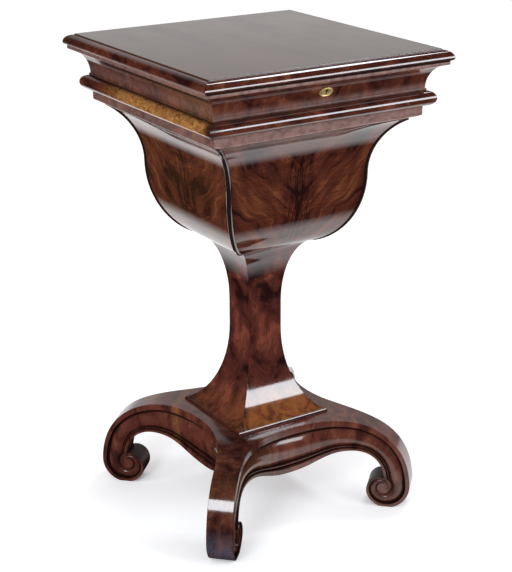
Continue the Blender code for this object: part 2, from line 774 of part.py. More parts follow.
def bullnose_profile():
    middle = (BULLNOSE_BOTTOM + BULLNOSE_TOP) / 2
    front = BAND_HALF + BULLNOSE_PROJECTION - BULLNOSE_RUN
    nose = ellipse_arc((front, middle), (BULLNOSE_RUN, BULLNOSE_HEIGHT / 2), -90, 90, 14)
    return [(CASE_HALF, BULLNOSE_BOTTOM)] + nose + [(CASE_HALF, BULLNOSE_TOP)]


def frieze_profile():
    lip = CAVETTO_HALF + CAVETTO_DEPTH
    step = CAVETTO_HALF + CAVETTO_FOOT_STEP
    hollow = ellipse_arc((lip, CAVETTO_BOTTOM), (CAVETTO_DEPTH, CAVETTO_HEIGHT), 180, 90, 14)
    return [(CASE_HALF, FRIEZE_BOTTOM), (step, FRIEZE_BOTTOM), (step, CAVETTO_BOTTOM)] + hollow + [
        (FRIEZE_HALF, CAVETTO_TOP), (FRIEZE_HALF, FRIEZE_TOP), (CASE_HALF, FRIEZE_TOP)]


def cavetto_at(z):
    """Half width of the cavetto at a height, and its lean from upright in radians."""
    share = (z - CAVETTO_BOTTOM) / CAVETTO_HEIGHT
    left = sqrt(1 - share ** 2)
    slope = CAVETTO_DEPTH / CAVETTO_HEIGHT * share / left
    return CAVETTO_HALF + CAVETTO_DEPTH * (1 - left), atan2(slope, 1)


def keyhole_mesh(name, low, high, grow=0.0):
    """A keyhole through the front, from y = low to y = high, round end up."""
    radius = KEYHOLE_RADIUS + grow
    slot = KEYHOLE_SLOT / 2 + grow
    top = KEYHOLE_Z + KEYHOLE_LENGTH / 2 - KEYHOLE_RADIUS
    edge = degrees(atan2(-sqrt(radius ** 2 - slot ** 2), slot))
    outline = ellipse_arc((0, top), (radius, radius), edge, 180 - edge, 12)
    foot = KEYHOLE_Z - KEYHOLE_LENGTH / 2 - grow
    outline += [(-slot, foot), (slot, foot)]
    return extruded_mesh(name, outline, lambda p: (p[0], low, p[1]), (0, high - low, 0))


def add_case(veneer, parent):
    four_sides("bullnose", mitred_mesh("bullnose", bullnose_profile()), veneer, parent)
    frieze = four_sides("frieze", mitred_mesh("frieze", frieze_profile()), veneer, parent)
    boolean(frieze["front"], lock_mortise())
    boolean(frieze["front"], selvedge_recess())
    hole = keyhole_mesh("frieze_keyhole", -FRIEZE_HALF, -CASE_HALF - LOCK_DEPTH / 2, GAP)
    boolean(frieze["front"], helper("frieze_keyhole", hole))
    for side in (-1, 1):
        for cutter in hinge_cutters(f"case_{side}", side, lid=False):
            boolean(frieze["back"], cutter)


# Lid

def lid_edge_profile():
    """The lid's applied moulding: a broad thumb, a step below the lid's top, that rolls under."""
    inner = LID_FLAT_HALF + GAP / 2
    nose = LID_BOTTOM + LID_ROLL_HEIGHT
    thumb_size = (LID_HALF - inner, LID_TOP - LID_STEP - nose)
    thumb = ellipse_arc((inner, nose), thumb_size, 0, 90, 14)
    roll = ellipse_arc((LID_HALF - LID_ROLL_RUN, nose), (LID_ROLL_RUN, LID_ROLL_HEIGHT), -90, 0, 6)
    return [(inner, LID_BOTTOM)] + roll + thumb[1:]


def lid_board_mesh():
    half = LID_FLAT_HALF - GAP / 2
    bm = bmesh.new()
    rings = []
    for grow, z in ((0, LID_BOTTOM), (0, LID_TOP - LID_CHAMFER), (-LID_CHAMFER, LID_TOP)):
        reach = half + grow
        corners = ((-reach, -reach), (reach, -reach), (reach, reach), (-reach, reach))
        rings.append([bm.verts.new((x, y, z)) for x, y in corners])
    for low, high in zip(rings, rings[1:]):
        for j in range(4):
            bm.faces.new((low[j], low[j - 1], high[j - 1], high[j]))
    bm.faces.new(rings[0])
    bm.faces.new(rings[-1])
    return mesh_from(bm, "lid_board")


def add_lid(veneer, edge, parent):
    board = piece("lid_board", lid_board_mesh(), veneer, parent)
    edges = four_sides("lid_moulding", mitred_mesh("lid_moulding", lid_edge_profile()),
                       edge, parent)
    boolean(board, strike_recess())
    for side in (-1, 1):
        pocket, leaf = hinge_cutters(f"lid_{side}", side, lid=True)
        boolean(edges["back"], pocket)
        boolean(edges["back"], leaf)
        boolean(board, leaf)


# Hinges

def leaf_levels(lid):
    """Lower and upper face of a hinge leaf."""
    if lid:
        return LID_BOTTOM, LID_BOTTOM + HINGE_LEAF
    return FRIEZE_TOP - HINGE_LEAF, FRIEZE_TOP


def hinge_cutters(name, side, lid):
    """The round pocket for the knuckles, and the recess for one leaf."""
    middle = side * HINGE_X
    half = HINGE_LENGTH / 2 + GAP
    low, high = leaf_levels(lid)
    if lid:
        low = low - LID_GAP / 2
        high = high + GAP
    else:
        low = low - GAP
        high = high + LID_GAP / 2
    inner = HINGE_Y - HINGE_LEAF_WIDTH - GAP
    outer = HINGE_Y + LID_OVERHANG + KNUCKLE_RADIUS
    leaf = box_mesh(f"leaf_recess_{name}", (middle - half, inner, low), (middle + half, outer, high))
    rod = rod_mesh(f"knuckle_pocket_{name}", (middle, HINGE_Y, HINGE_Z),
                   KNUCKLE_RADIUS + KNUCKLE_CLEARANCE, 2 * half)
    return helper(rod.name, rod), helper(leaf.name, leaf)


def knuckle_spans(middle):
    """The three knuckles along the pin: case, lid, case."""
    part = (HINGE_LENGTH - 2 * GAP) / 3
    start = middle - HINGE_LENGTH / 2
    return [(start + i * (part + GAP), start + i * (part + GAP) + part) for i in range(3)]


def hinge_leaf(name, side, lid, finish, parent):
    """A plate, with knuckles on tabs and a bore for the pin."""
    middle = side * HINGE_X
    low, high = leaf_levels(lid)
    inner = HINGE_Y - HINGE_LEAF_WIDTH
    edge = HINGE_Y - KNUCKLE_RADIUS - KNUCKLE_CLEARANCE
    half = HINGE_LENGTH / 2
    plate = box_mesh(name, (middle - half, inner, low), (middle + half, edge, high))
    leaf = piece(name, plate, finish, parent)
    spans = knuckle_spans(middle)
    own = [spans[1]] if lid else [spans[0], spans[2]]
    shave = HINGE_LEAF * 0.04
    for i, (start, end) in enumerate(own):
        tab = box_mesh(f"{name}_tab_{i}", (start + shave, edge - HINGE_LEAF, low + shave),
                       (end - shave, HINGE_Y - PIN_RADIUS, high - shave))
        boolean(leaf, helper(tab.name, tab), "UNION")
        barrel = rod_mesh(f"{name}_barrel_{i}", ((start + end) / 2, HINGE_Y, HINGE_Z),
                          KNUCKLE_RADIUS, end - start)
        boolean(leaf, helper(barrel.name, barrel), "UNION")
    bore = rod_mesh(f"{name}_bore", (middle, HINGE_Y, HINGE_Z), PIN_RADIUS + PIN_CLEARANCE,
                    HINGE_LENGTH * 1.2, 16)
    boolean(leaf, helper(bore.name, bore))


def add_hinges(brass, table, lid):
    for label, side in (("left", -1), ("right", 1)):
        hinge_leaf(f"hinge_case_leaf_{label}", side, False, brass, table)
        hinge_leaf(f"hinge_lid_leaf_{label}", side, True, brass, lid)
        pin = rod_mesh(f"hinge_pin_{label}", (side * HINGE_X, HINGE_Y, HINGE_Z), PIN_RADIUS,
                       HINGE_LENGTH, 16)
        piece(pin.name, pin, brass, table)


# Lock

def lock_plate_mesh(name, low, high, grow=0.0):
    """The oblong of the selvedge and of the strike plate, between two heights."""
    half = SELVEDGE_HALF + grow
    outer = LOCK_BACK - SELVEDGE_LIP - grow
    return box_mesh(name, (-half, outer, low), (half, LOCK_FACE + grow, high))


def lock_mortise():
    half = LOCK_HALF + GAP
    mesh = box_mesh("lock_mortise", (-half, LOCK_BACK - GAP, CASE_FLOOR - GAP),
                    (half, LOCK_FACE + LOCK_DEPTH, FRIEZE_TOP - SELVEDGE_THICKNESS / 2))
    return helper("lock_mortise", mesh)


def selvedge_recess():
    mesh = lock_plate_mesh("selvedge_recess", SELVEDGE_BOTTOM - GAP, FRIEZE_TOP + SELVEDGE_THICKNESS,
                           2 * GAP)
    return helper("selvedge_recess", mesh)


def strike_recess():
    mesh = lock_plate_mesh("strike_recess", LID_BOTTOM - SELVEDGE_THICKNESS,
                           LID_BOTTOM + SELVEDGE_THICKNESS + GAP, GAP)
    return helper("strike_recess", mesh)


def add_lock_case(steel, brass, parent):
    half = LOCK_HALF
    case = piece("lock_case", box_mesh("lock_case", (-half, LOCK_BACK, CASE_FLOOR),
                                       (half, LOCK_FACE, CASE_TOP)), steel, parent)
    room = box_mesh("lock_room", (LOCK_WALL - half, LOCK_BACK + LOCK_WALL, CASE_FLOOR + LOCK_WALL),
                    (half - LOCK_WALL, LOCK_FACE - LOCK_WALL, CASE_TOP + LOCK_WALL))
    boolean(case, helper("lock_room", room))
    hole = keyhole_mesh("case_keyhole", LOCK_BACK - LOCK_WALL, LOCK_MIDDLE)
    boolean(case, helper("case_keyhole", hole))
    plate = lock_plate_mesh("lock_selvedge", SELVEDGE_BOTTOM, FRIEZE_TOP)
    selvedge = piece("lock_selvedge", plate, brass, parent)
    reach = STAPLE_WIDTH / 2 + STAPLE_CLEARANCE
    for i, middle in enumerate(STAPLE_MIDDLES):
        slot = box_mesh(f"staple_slot_{i}",
                        (middle - STAPLE_SLOT_HALF, LOCK_MIDDLE - reach, CASE_TOP),
                        (middle + STAPLE_SLOT_HALF, LOCK_MIDDLE + reach, LID_TOP))
        boolean(selvedge, helper(slot.name, slot))


def bolt_outline():
    """The bolt seen from the front: two fingers on posts over a bar that straddles the key."""
    eye = STAPLE_TIP + STAPLE_EYE_RISE + STAPLE_EYE_HEIGHT / 2
    finger = BOLT_FINGER / 2
    foot = CASE_FLOOR + LOCK_WALL + GAP
    bar_top = STAPLE_TIP - STAPLE_CLEARANCE
    bar_foot = bar_top - BOLT_BAR
    near_tip, far_tip = BOLT_TIPS
    near_post, far_post = BOLT_POSTS
    points = [(BOLT_LEFT, foot), (near_post, foot), (near_post, bar_foot)]
    points += [(far_tip - BOLT_POST, bar_foot), (far_tip - BOLT_POST, foot), (far_tip, foot)]
    points += [(far_tip, bar_top), (far_post, bar_top), (far_post, eye - finger)]
    points += [(far_tip, eye - finger), (far_tip, eye + finger)]
    points += [(far_post - BOLT_POST, eye + finger), (far_post - BOLT_POST, bar_top)]
    points += [(near_post, bar_top), (near_post, eye - finger), (near_tip, eye - finger)]
    points += [(near_tip, eye + finger), (BOLT_LEFT, eye + finger)]
    return points


def add_lock_bolt(steel, parent):
    back = LOCK_MIDDLE - BOLT_THICKNESS / 2
    mesh = extruded_mesh("lock_bolt", bolt_outline(), lambda p: (p[0], back, p[1]),
                         (0, BOLT_THICKNESS, 0))
    piece("lock_bolt", mesh, steel, parent)


def add_strike_plate(brass, parent):
    plate = lock_plate_mesh("strike_plate", LID_BOTTOM, LID_BOTTOM + SELVEDGE_THICKNESS)
    strike = piece("strike_plate", plate, brass, parent)
    for i, middle in enumerate(STAPLE_MIDDLES):
        half = STAPLE_THICKNESS / 2
        reach = STAPLE_WIDTH / 2
        staple = box_mesh(f"staple_{i}", (middle - half, LOCK_MIDDLE - reach, STAPLE_TIP),
                          (middle + half, LOCK_MIDDLE + reach, LID_BOTTOM + SELVEDGE_THICKNESS / 2))
        boolean(strike, helper(staple.name, staple), "UNION")
        reach = STAPLE_EYE_WIDTH / 2
        foot = STAPLE_TIP + STAPLE_EYE_RISE
        eye = box_mesh(f"staple_eye_{i}", (middle - 2 * half, LOCK_MIDDLE - reach, foot),
                       (middle + 2 * half, LOCK_MIDDLE + reach, foot + STAPLE_EYE_HEIGHT))
        boolean(strike, helper(eye.name, eye))


def escutcheon_mesh():
    """A scalloped oval plate in the XZ plane, domed towards -Y, its back at y = 0."""
    rings = ((1, 0), (1, 0.55), (0.88, 1), (0.76, 0.6), (0.5, 0.75))
    sides = ESCUTCHEON_LOBES * 3
    bm = bmesh.new()
    loops = []
    for share, height in rings:
        loop = []
        for i in range(sides):
            angle = 2 * pi * i / sides
            lobe = ESCUTCHEON_SCALLOP * cos(ESCUTCHEON_LOBES * angle) * (share > 0.9)
            x = (ESCUTCHEON_WIDTH / 2 * share + lobe) * cos(angle)
            z = (ESCUTCHEON_HEIGHT / 2 * share + lobe) * sin(angle)
            loop.append(bm.verts.new((x, -ESCUTCHEON_THICKNESS * height, z)))
        loops.append(loop)
    for low, high in zip(loops, loops[1:]):
        for j in range(sides):
            bm.faces.new((low[j], low[j - 1], high[j - 1], high[j]))
    bm.faces.new(loops[0])
    bm.faces.new(loops[-1])
    return mesh_from(bm, "escutcheon")


def add_escutcheon(brass, parent):
    """Set square to the hollow of the cavetto, with its upper and lower rim on the wood."""
    half, lean = cavetto_at(KEYHOLE_Z)
    reach = ESCUTCHEON_HEIGHT / 2 + ESCUTCHEON_SCALLOP
    sag = 0
    for side in (-1, 1):
        z = KEYHOLE_Z + side * reach * cos(lean)
        chord = half + side * reach * sin(lean)
        sag = max(sag, (cavetto_at(z)[0] - chord) * cos(lean))
    seat = sag + GAP
    plate = piece("escutcheon", escutcheon_mesh(), brass, parent)
    plate.location = (0, -half - seat * cos(lean), KEYHOLE_Z - seat * sin(lean))
    plate.rotation_euler.x = lean
    hole = keyhole_mesh("escutcheon_keyhole", -FRIEZE_HALF - LOCK_DEPTH, -CASE_HALF)
    boolean(plate, helper("escutcheon_keyhole", hole))


# Till

def till_box(name, low, high, finish, parent):
    piece(name, box_mesh(name, low, high), finish, parent)


def add_ledgers(finish, parent):
    inner = CASE_HALF - GAP
    reach = CASE_HALF - LEDGER_END
    for label, side in (("left", -1), ("right", 1)):
        ends = sorted((side * inner, side * (inner - LEDGER_WIDTH)))
        mesh = box_mesh(f"ledger_{label}", (ends[0], -reach, LEDGER_TOP - LEDGER_HEIGHT),
                        (ends[1], reach, LEDGER_TOP))
        piece(mesh.name, mesh, finish, parent)


def add_till(finish, lining, parent):
    """A shallow box over the back half of the well, divided into compartments."""
    wide = CASE_HALF - TILL_CLEARANCE
    back = CASE_HALF - TILL_CLEARANCE
    front = back - TILL_DEPTH
    low = LEDGER_TOP + GAP
    high = low + TILL_HEIGHT
    inside = wide - TILL_WALL
    for label, side in (("left", -1), ("right", 1)):
        ends = sorted((side * wide, side * inside))
        till_box(f"till_{label}", (ends[0], front, low), (ends[1], back, high), finish, parent)
    span = inside - GAP
    till_box("till_front", (-span, front, low), (span, front + TILL_WALL, high), finish, parent)
    till_box("till_back", (-span, back - TILL_WALL, low), (span, back, high), finish, parent)
    near = front + TILL_WALL + GAP
    far = back - TILL_WALL - GAP
    till_box("till_floor", (-span, near, low), (span, far, low + TILL_FLOOR), lining, parent)
    foot = low + TILL_FLOOR + GAP
    top = high - TILL_DIVIDER_DROP
    middle = near + FRONT_ROW_DEPTH
    till_box("till_long_divider", (-span, middle, foot), (span, middle + TILL_DIVIDER, top),
             finish, parent)
    rows = (("front", near, middle - GAP, (-0.5, 0, 0.5)),
            ("back", middle + TILL_DIVIDER + GAP, far, (0,)))
    for label, start, end, places in rows:
        for i, place in enumerate(places):
            x = place * span
            half = TILL_DIVIDER / 2
            till_box(f"till_{label}_divider_{i + 1}", (x - half, start, foot),
                     (x + half, end, top), finish, parent)


def main():
    clear_scene()
    bpy.context.scene.unit_settings.scale_length = 1
    mahogany = material("mahogany", (0.135, 0.040, 0.020), 0.22)
    veneer = material("figured_mahogany_veneer", (0.180, 0.058, 0.024), 0.18)
    ebonised = material("ebonised_wood", (0.020, 0.012, 0.010), 0.25)
    pine = material("pine_core", (0.45, 0.27, 0.12), 0.6)
    birch = material("birch", (0.62, 0.42, 0.22), 0.4)
    brass = material("brass", (0.62, 0.44, 0.18), 0.32, 1.0)
    steel = material("lock_steel", (0.28, 0.27, 0.26), 0.45, 1.0)

    table = empty("work_table")
    lid = empty("lid_axis", (0, HINGE_Y, HINGE_Z), table)
    till = empty("till_slide", (0, 0, LEDGER_TOP), table)
    bolt = empty("bolt_slide", (0, LOCK_MIDDLE, CASE_FLOOR), table)

    add_base(mahogany, table)
    add_column(veneer, mahogany, table)
    add_body(veneer, ebonised, pine, table)
    add_case(veneer, table)
    add_lid(veneer, mahogany, lid)
    add_hinges(brass, table, lid)
    add_lock_case(steel, brass, table)
    add_lock_bolt(steel, bolt)
    add_strike_plate(brass, lid)
    add_escutcheon(brass, table)
    add_ledgers(birch, table)
    add_till(birch, birch, till)


main()
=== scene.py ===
"""Looks of the work table: fine legs, eased edges, polished woods, brass, floor and light, built
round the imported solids. Metres, +Z up, front towards -Y."""

import json
from math import atan2, ceil, cos, degrees, dist, pi, radians, sin, sqrt

import bmesh
import bpy
from mathutils import Matrix, Vector


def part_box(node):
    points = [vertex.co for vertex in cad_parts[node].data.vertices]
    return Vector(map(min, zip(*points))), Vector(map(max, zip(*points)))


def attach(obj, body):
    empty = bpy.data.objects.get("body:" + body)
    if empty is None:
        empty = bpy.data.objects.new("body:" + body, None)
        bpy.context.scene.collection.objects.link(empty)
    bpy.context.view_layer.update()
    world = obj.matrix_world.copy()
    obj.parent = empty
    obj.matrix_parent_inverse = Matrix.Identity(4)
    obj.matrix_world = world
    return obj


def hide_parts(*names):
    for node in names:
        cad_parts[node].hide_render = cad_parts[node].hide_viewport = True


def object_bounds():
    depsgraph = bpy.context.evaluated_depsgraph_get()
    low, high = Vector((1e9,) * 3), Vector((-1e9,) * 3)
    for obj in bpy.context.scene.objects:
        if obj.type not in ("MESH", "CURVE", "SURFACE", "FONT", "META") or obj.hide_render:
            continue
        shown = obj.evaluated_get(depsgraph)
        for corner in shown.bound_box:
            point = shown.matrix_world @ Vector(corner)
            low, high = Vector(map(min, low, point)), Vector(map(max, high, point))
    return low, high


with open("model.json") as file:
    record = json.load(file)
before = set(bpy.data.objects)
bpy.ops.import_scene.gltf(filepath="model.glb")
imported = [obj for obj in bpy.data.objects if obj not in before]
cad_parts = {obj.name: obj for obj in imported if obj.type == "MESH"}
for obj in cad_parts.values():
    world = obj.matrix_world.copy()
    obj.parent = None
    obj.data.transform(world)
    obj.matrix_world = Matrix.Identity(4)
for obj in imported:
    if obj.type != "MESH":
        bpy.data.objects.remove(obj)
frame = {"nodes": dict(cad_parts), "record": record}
CAD_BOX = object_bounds()
NODES = frame["nodes"]
RECORD = frame["record"]
SLOT_OF = {part["node"]: part["material_slot"] for part in RECORD["subparts"]}
BODY_OF = {node: body for body, nodes in RECORD["behaviour"]["bodies"].items() for node in nodes}

MM = 0.001
ROOT2 = sqrt(2)

# Photograph's height in pixels, and the camera that fits it
FRAME_HEIGHT = 572
CAMERA_PLACE = (-1.1678, -1.8246, 1.1702)
CAMERA_YAW = 56.27  # degrees from +X
CAMERA_PITCH = -21.37
CAMERA_ROLL = 0.17
FOCAL_PIXELS = 1438.3
SHIFT_PIXELS = (25, 25)  # principal point, right of and below the frame's middle
SENSOR = 36.0  # mm

# Legs and base block: the solids' own outlines, with finer steps and a bolder relief
BASE_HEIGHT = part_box("base_block")[1].z
SIDE_HALF = 105.5 * MM
LEG_HALF_WIDTH = 20.5 * MM
JOINT_RADIUS = 104 * MM
JOINT_GAP = 0.3 * MM
APRON_DEPTH = 80 * MM
JOINT_RISE = 6 * MM
ARCH_RADIUS = 167 * MM
ARCH_HEIGHT = 99.3 * MM
SHOULDER_START = 12 * MM
VOLUTE_RADIUS = 218.5 * MM
VOLUTE_SIZE = 45 * MM
VOLUTE_PITCH = 34.4 * MM
VOLUTE_EYE = 8 * MM
FOOT_FLAT = 0.9 * MM
SPIRAL_STEP_ANGLE = 5
SPIRAL_START_ANGLE = 10
SECTION_LAG_ANGLE = 75
TURNING_ANGLE = 120  # over which a section of the scroll comes to turn with it
LEG_SECTION_COUNT = 37
BLOCK_STEPS = 24
GROOVE_DEPTH = 7.2 * MM  # on a side as deep as the apron, and less on a slimmer one
RELIEF_LEAST = 0.35  # share of the depth that stays on the slimmest side
UPPER_GROOVE_SHARE = 0.105
LOWER_GROOVE_SHARE = 0.135
BORDER_TOP_SHARE = 0.16
BORDER_FOOT_SHARE = 0.89
BORDER_CROWN = 0.1 * MM
BAND_SWELL = 6.2 * MM
BAND_FULLNESS = 2.1
BAND_STEPS = 12
EYE_BOSS = 1.5 * MM
SCROLL_SHADE = 0.34  # painted shade over the inner turns of a scroll
SCROLL_HEART = (20 * MM, 32 * MM)  # from the eye: where that painted shade begins to thin, and where it ends
CURL_DARKER = 2.2  # times as much painted shade on the back of the scroll, once it has curled under the leg
CURL_STEPS = (22, 34)  # of the scroll, over which that painted shade comes in
RIM_EASE = 0.7 * MM
SHARP_ANGLE = radians(40)  # edges sharper than this stay sharp
LEG_GRAIN = (0.9, 0.3)  # how far the grain runs up the leg, and how far out along it
INNER_TURN = (360 - SECTION_LAG_ANGLE) // SPIRAL_STEP_ANGLE
# Sections of the grooves: share of the width, share of the depth, painted shade. A fillet stands in
# the middle of the lower one.
UPPER_GROOVE = ((0.04, 0.55, 0.9), (0.13, 1.00, 1.0), (0.55, 1.00, 1.0), (0.90, 0.98, 1.0))
LOWER_GROOVE = ((0.04, 0.90, 0.9), (0.10, 1.00, 1.0), (0.38, 1.00, 1.0), (0.43, 0.50, 0.1),
                (0.57, 0.50, 0.1), (0.62, 1.00, 1.0), (0.94, 1.00, 1.0))
# Reach of the leads of the leg's curves, as shares of a curve's width, its height or both
SHOULDER_LEAD = 0.59
LEAN_LEAD = (0.03, 0.71)
RISE_LEAD = (0.40, 0.65)
CROWN_LEAD = 0.42
OVER_LEAD = 0.56
NOTCH_LEAD = (0.05, 0.66)

# Names by quarter turns about the table's axis
SIDES = ("front", "right", "back", "left")
CORNERS = ("back_right", "back_left", "front_left", "front_right")

# Pieces that keep their solid's shape
WELD = 0.002 * MM
FLAT_ANGLE = radians(0.3)  # faces that differ by less become one
SMOOTH_ANGLE = radians(30)  # edges sharper than this are eased
EDGE_EASE = 0.45 * MM
STRIP_EASE = 0.15 * MM
BEAD_EASE = 0.2 * MM
TILL_EASE = 0.6 * MM
METAL_EASE = 0.15 * MM
STRIP_DROP = 0.8 * MM
STRIP_EDGE = 0.5 * MM  # a foot strip's outer edge lies this near its outermost face
PLATE_NARROWING = 0.873
KEYHOLE_REACH = (1.8 * MM, 4.2 * MM)  # to the side and up or down from the plate's middle
KEYHOLE_WIDENING = 1.25
KEYHOLE_WALL = 0.2  # a wall of the keyhole faces the front by less than this
INWARD_LEAST = 0.5  # a lined face looks inwards by more than this
RUN_SLICES = 16  # on each side of a run's middle
SEED_STEP = 0.37  # metres through the tree from one piece of wood to the next

# Levels at which the painted shade and painted sheen on a moulding change
LID_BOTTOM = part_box("lid_moulding_front")[0].z
FRIEZE_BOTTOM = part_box("frieze_front")[0].z
FRIEZE_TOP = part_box("frieze_front")[1].z
FRIEZE_LEVELS = (FRIEZE_TOP - 1.8 * MM, FRIEZE_TOP - 1.5 * MM)
FILLET_BOTTOM = FRIEZE_TOP - 5.9 * MM
HOLLOW_LEVEL = FILLET_BOTTOM - 9.5 * MM
HOLLOW_CUTS = tuple(HOLLOW_LEVEL + rise * MM for rise in (3, 0, -3))
BULLNOSE_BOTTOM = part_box("bullnose_front")[0].z
BULLNOSE_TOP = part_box("bullnose_front")[1].z
BAND_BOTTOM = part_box("body_panel_front")[1].z - 16.2 * MM
BAND_MARGIN = 0.4 * MM
LEVEL_CUTS = {"frieze": FRIEZE_LEVELS + HOLLOW_CUTS, "body_panel": (BAND_BOTTOM + BAND_MARGIN,)}

# Where a patch of warmth, painted shade or painted sheen begins or fades, and where it is full or gone
CASE_EDGE = (155 * MM, 195 * MM)  # out from the table's axis
HOLLOW_START = (-155 * MM, -140 * MM)  # along a side, from its middle to the right
MITRE_START = (184 * MM, 192 * MM)
GOLDEN_START = (-140 * MM, -40 * MM)
GOLDEN_END = (180 * MM, 190 * MM)
FRIEZE_WARMTH = (0.0, 160 * MM)
LEFT_MITRE_START = (180 * MM, 192 * MM)  # along a side, from its middle to the left
FAR_END = (120 * MM, 200 * MM)
LEG_FOOT = (25 * MM, 70 * MM)  # up from the floor
LEG_FACE = (235 * MM, 255 * MM)  # out along a leg
COLUMN_FRONT = (-4 * MM, 12 * MM)  # further to the front than to the side
COLUMN_FOOT = (185 * MM, 215 * MM)  # up from the floor


# Shader building

def new_material(name):
    made = bpy.data.materials.new(name)
    made.use_nodes = True
    return made, made.node_tree, made.node_tree.nodes["Principled BSDF"]


def add(tree, kind, inputs=None, **settings):
    """A shader node. An input is a socket to link or a plain value."""
    made = tree.nodes.new(f"ShaderNode{kind}")
    for key, value in settings.items():
        setattr(made, key, value)
    for key, value in (inputs or {}).items():
        if isinstance(value, bpy.types.NodeSocket):
            tree.links.new(value, made.inputs[key])
        else:
            made.inputs[key].default_value = value
    return made


def maths(tree, operation, first, second=0.0):
    return add(tree, "Math", {0: first, 1: second}, operation=operation).outputs[0]


def noise(tree, place, scale, detail=3.0, roughness=0.55, distortion=0.0):
    """Noise from 0 to 1 at a place in metres, with its own scale on each axis."""
    scaled = add(tree, "VectorMath", {0: place, 1: scale}, operation="MULTIPLY").outputs[0]
    made = add(tree, "TexNoise", {"Vector": scaled, "Scale": 1.0, "Detail": detail,
                                  "Roughness": roughness, "Distortion": distortion})
    return made.outputs["Fac"]


def ramp(tree, factor, stops):
    """A smooth colour ramp through (position, colour) stops."""
    made = add(tree, "ValToRGB", {"Fac": factor})
    bar = made.color_ramp
    bar.interpolation = "EASE"
    while len(bar.elements) < len(stops):
        bar.elements.new(0.5)
    for element, (position, colour) in zip(bar.elements, stops):
        element.position = position
        element.color = (*colour, 1)
    return made.outputs["Color"]


def mix(tree, factor, first, second):
    """Two colours mixed. A plain colour is three numbers."""
    made = add(tree, "Mix", data_type="RGBA")
    for index, value in ((0, factor), (6, first), (7, second)):
        if isinstance(value, bpy.types.NodeSocket):
            tree.links.new(value, made.inputs[index])
        elif index:
            made.inputs[index].default_value = (*value, 1)
        else:
            made.inputs[index].default_value = value
    return made.outputs[2]


def spread(tree, value, low, high, to_low, to_high):
    """A value's range, low to high, stretched to another range and held within it."""
    made = add(tree, "MapRange", {"Value": value, "From Min": low, "From Max": high,
                                  "To Min": to_low, "To Max": to_high})
    return made.outputs[0]


def wood_place(tree):
    """Where a point lies in the wood: along the grain, across it, and through it."""
    return add(tree, "Attribute", attribute_name="wood").outputs["Vector"]


def patch(tree, name):
    """How much of a patch lies on a point, from 0 to 1."""
    return add(tree, "Attribute", attribute_name=name).outputs["Fac"]


def blend_of(tree, *weighted):
    """The sum of (value, weight) pairs."""
    total = 0.0
    for value, weight in weighted:
        total = maths(tree, "ADD", maths(tree, "MULTIPLY", value, weight), total)
    return total


# Woods. Scales are per metre along the grain, across it and through it.

PLUME_SWAY = 14 * MM
PLUME_BEND = 1.25  # power by which plumes bend away from the joint
PLUME_FALL = 1.35  # how steeply they fall
JOINT_SPREAD = 35 * MM  # from the joint to where its dark streaks end


def plain_figure(tree, place):
    """Growth bands along the grain, with broken ripples across them."""
    bands = noise(tree, place, (2.5, 34, 34), 4, 0.6, 0.4)
    ripple = noise(tree, place, (38, 9, 9), 2, 0.5, 0.3)
    return spread(tree, blend_of(tree, (bands, 0.72), (ripple, 0.28)), 0.3, 0.7, 0.0, 1.0)


def cloud_figure(tree, place):
    """Soft clouds, with faint streaks along the grain."""
    clouds = noise(tree, place, (18, 30, 30), 4, 0.58, 1.0)
    streaks = noise(tree, place, (4, 120, 120), 3, 0.6, 0.3)
    return spread(tree, blend_of(tree, (clouds, 0.78), (streaks, 0.22)), 0.38, 0.64, 0.0, 1.0)


def mottled_figure(tree, place):
    """Blotches that are as wide as they are long."""
    clouds = noise(tree, place, (22, 26, 26), 5, 0.62, 0.7)
    return spread(tree, clouds, 0.34, 0.68, 0.0, 1.0)


def flame_figure(tree, place):
    """Crotch veneer, book-matched about the middle: plumes that sway and fall away from a joint with
    dark streaks."""
    parts = add(tree, "SeparateXYZ", {0: place}).outputs
    beside = maths(tree, "ABSOLUTE", parts["X"])
    matched = add(tree, "CombineXYZ", {0: beside, 1: parts["Y"], 2: parts["Z"]}).outputs[0]
    sway = noise(tree, matched, (13, 17, 5), 2, 0.5, 0.5)
    sway = spread(tree, sway, 0.3, 0.7, -PLUME_SWAY, PLUME_SWAY)
    bow = maths(tree, "POWER", beside, PLUME_BEND)
    fall = maths(tree, "SUBTRACT", parts["Y"], maths(tree, "MULTIPLY", bow, PLUME_FALL))
    fall = maths(tree, "ADD", fall, sway)
    line = add(tree, "CombineXYZ", {0: fall, 1: beside, 2: parts["Z"]}).outputs[0]
    plumes = noise(tree, line, (60, 13, 5), 5, 0.64, 0.45)
    feather = noise(tree, line, (210, 22, 5), 3, 0.6, 0.5)
    clouds = noise(tree, line, (12, 17, 5), 2, 0.5, 0.8)
    streaks = noise(tree, matched, (380, 16, 5), 3, 0.6, 0.5)
    streaks = spread(tree, streaks, 0.44, 0.62, 0.0, 1.0)
    spine = spread(tree, beside, 0.0, JOINT_SPREAD, 0.24, 0.0)
    total = blend_of(tree, (plumes, 0.48), (feather, 0.20), (clouds, 0.32))
    total = maths(tree, "SUBTRACT", total, maths(tree, "MULTIPLY", spine, streaks))
    return spread(tree, total, 0.40, 0.62, 0.0, 1.0)


GOLDEN = (0.34, 0.152, 0.042)
# Colours of painted sheen: painted reflections and highlights; the cool one is low on the front leg
PAINTED_SHEEN = (0.30, 0.19, 0.17)
COOL_PAINTED_SHEEN = (0.17, 0.18, 0.26)
# Near-black that painted shade mixes to, in grooves, seams and scroll turns; also the dark marks at
# the bullnose mitres
PAINTED_SHADE_AND_MARKS = (0.005, 0.003, 0.003)
FLECK = (120, 170, 170)
FIBRES = (9, 420, 420)
PORES = (45, 900, 900)
# Scale of the noise that breaks up the painted sheen
SHEEN_BREAKUP = (60, 110, 110)
HAZE = (14, 22, 22)
WAVES = (11, 26, 26)


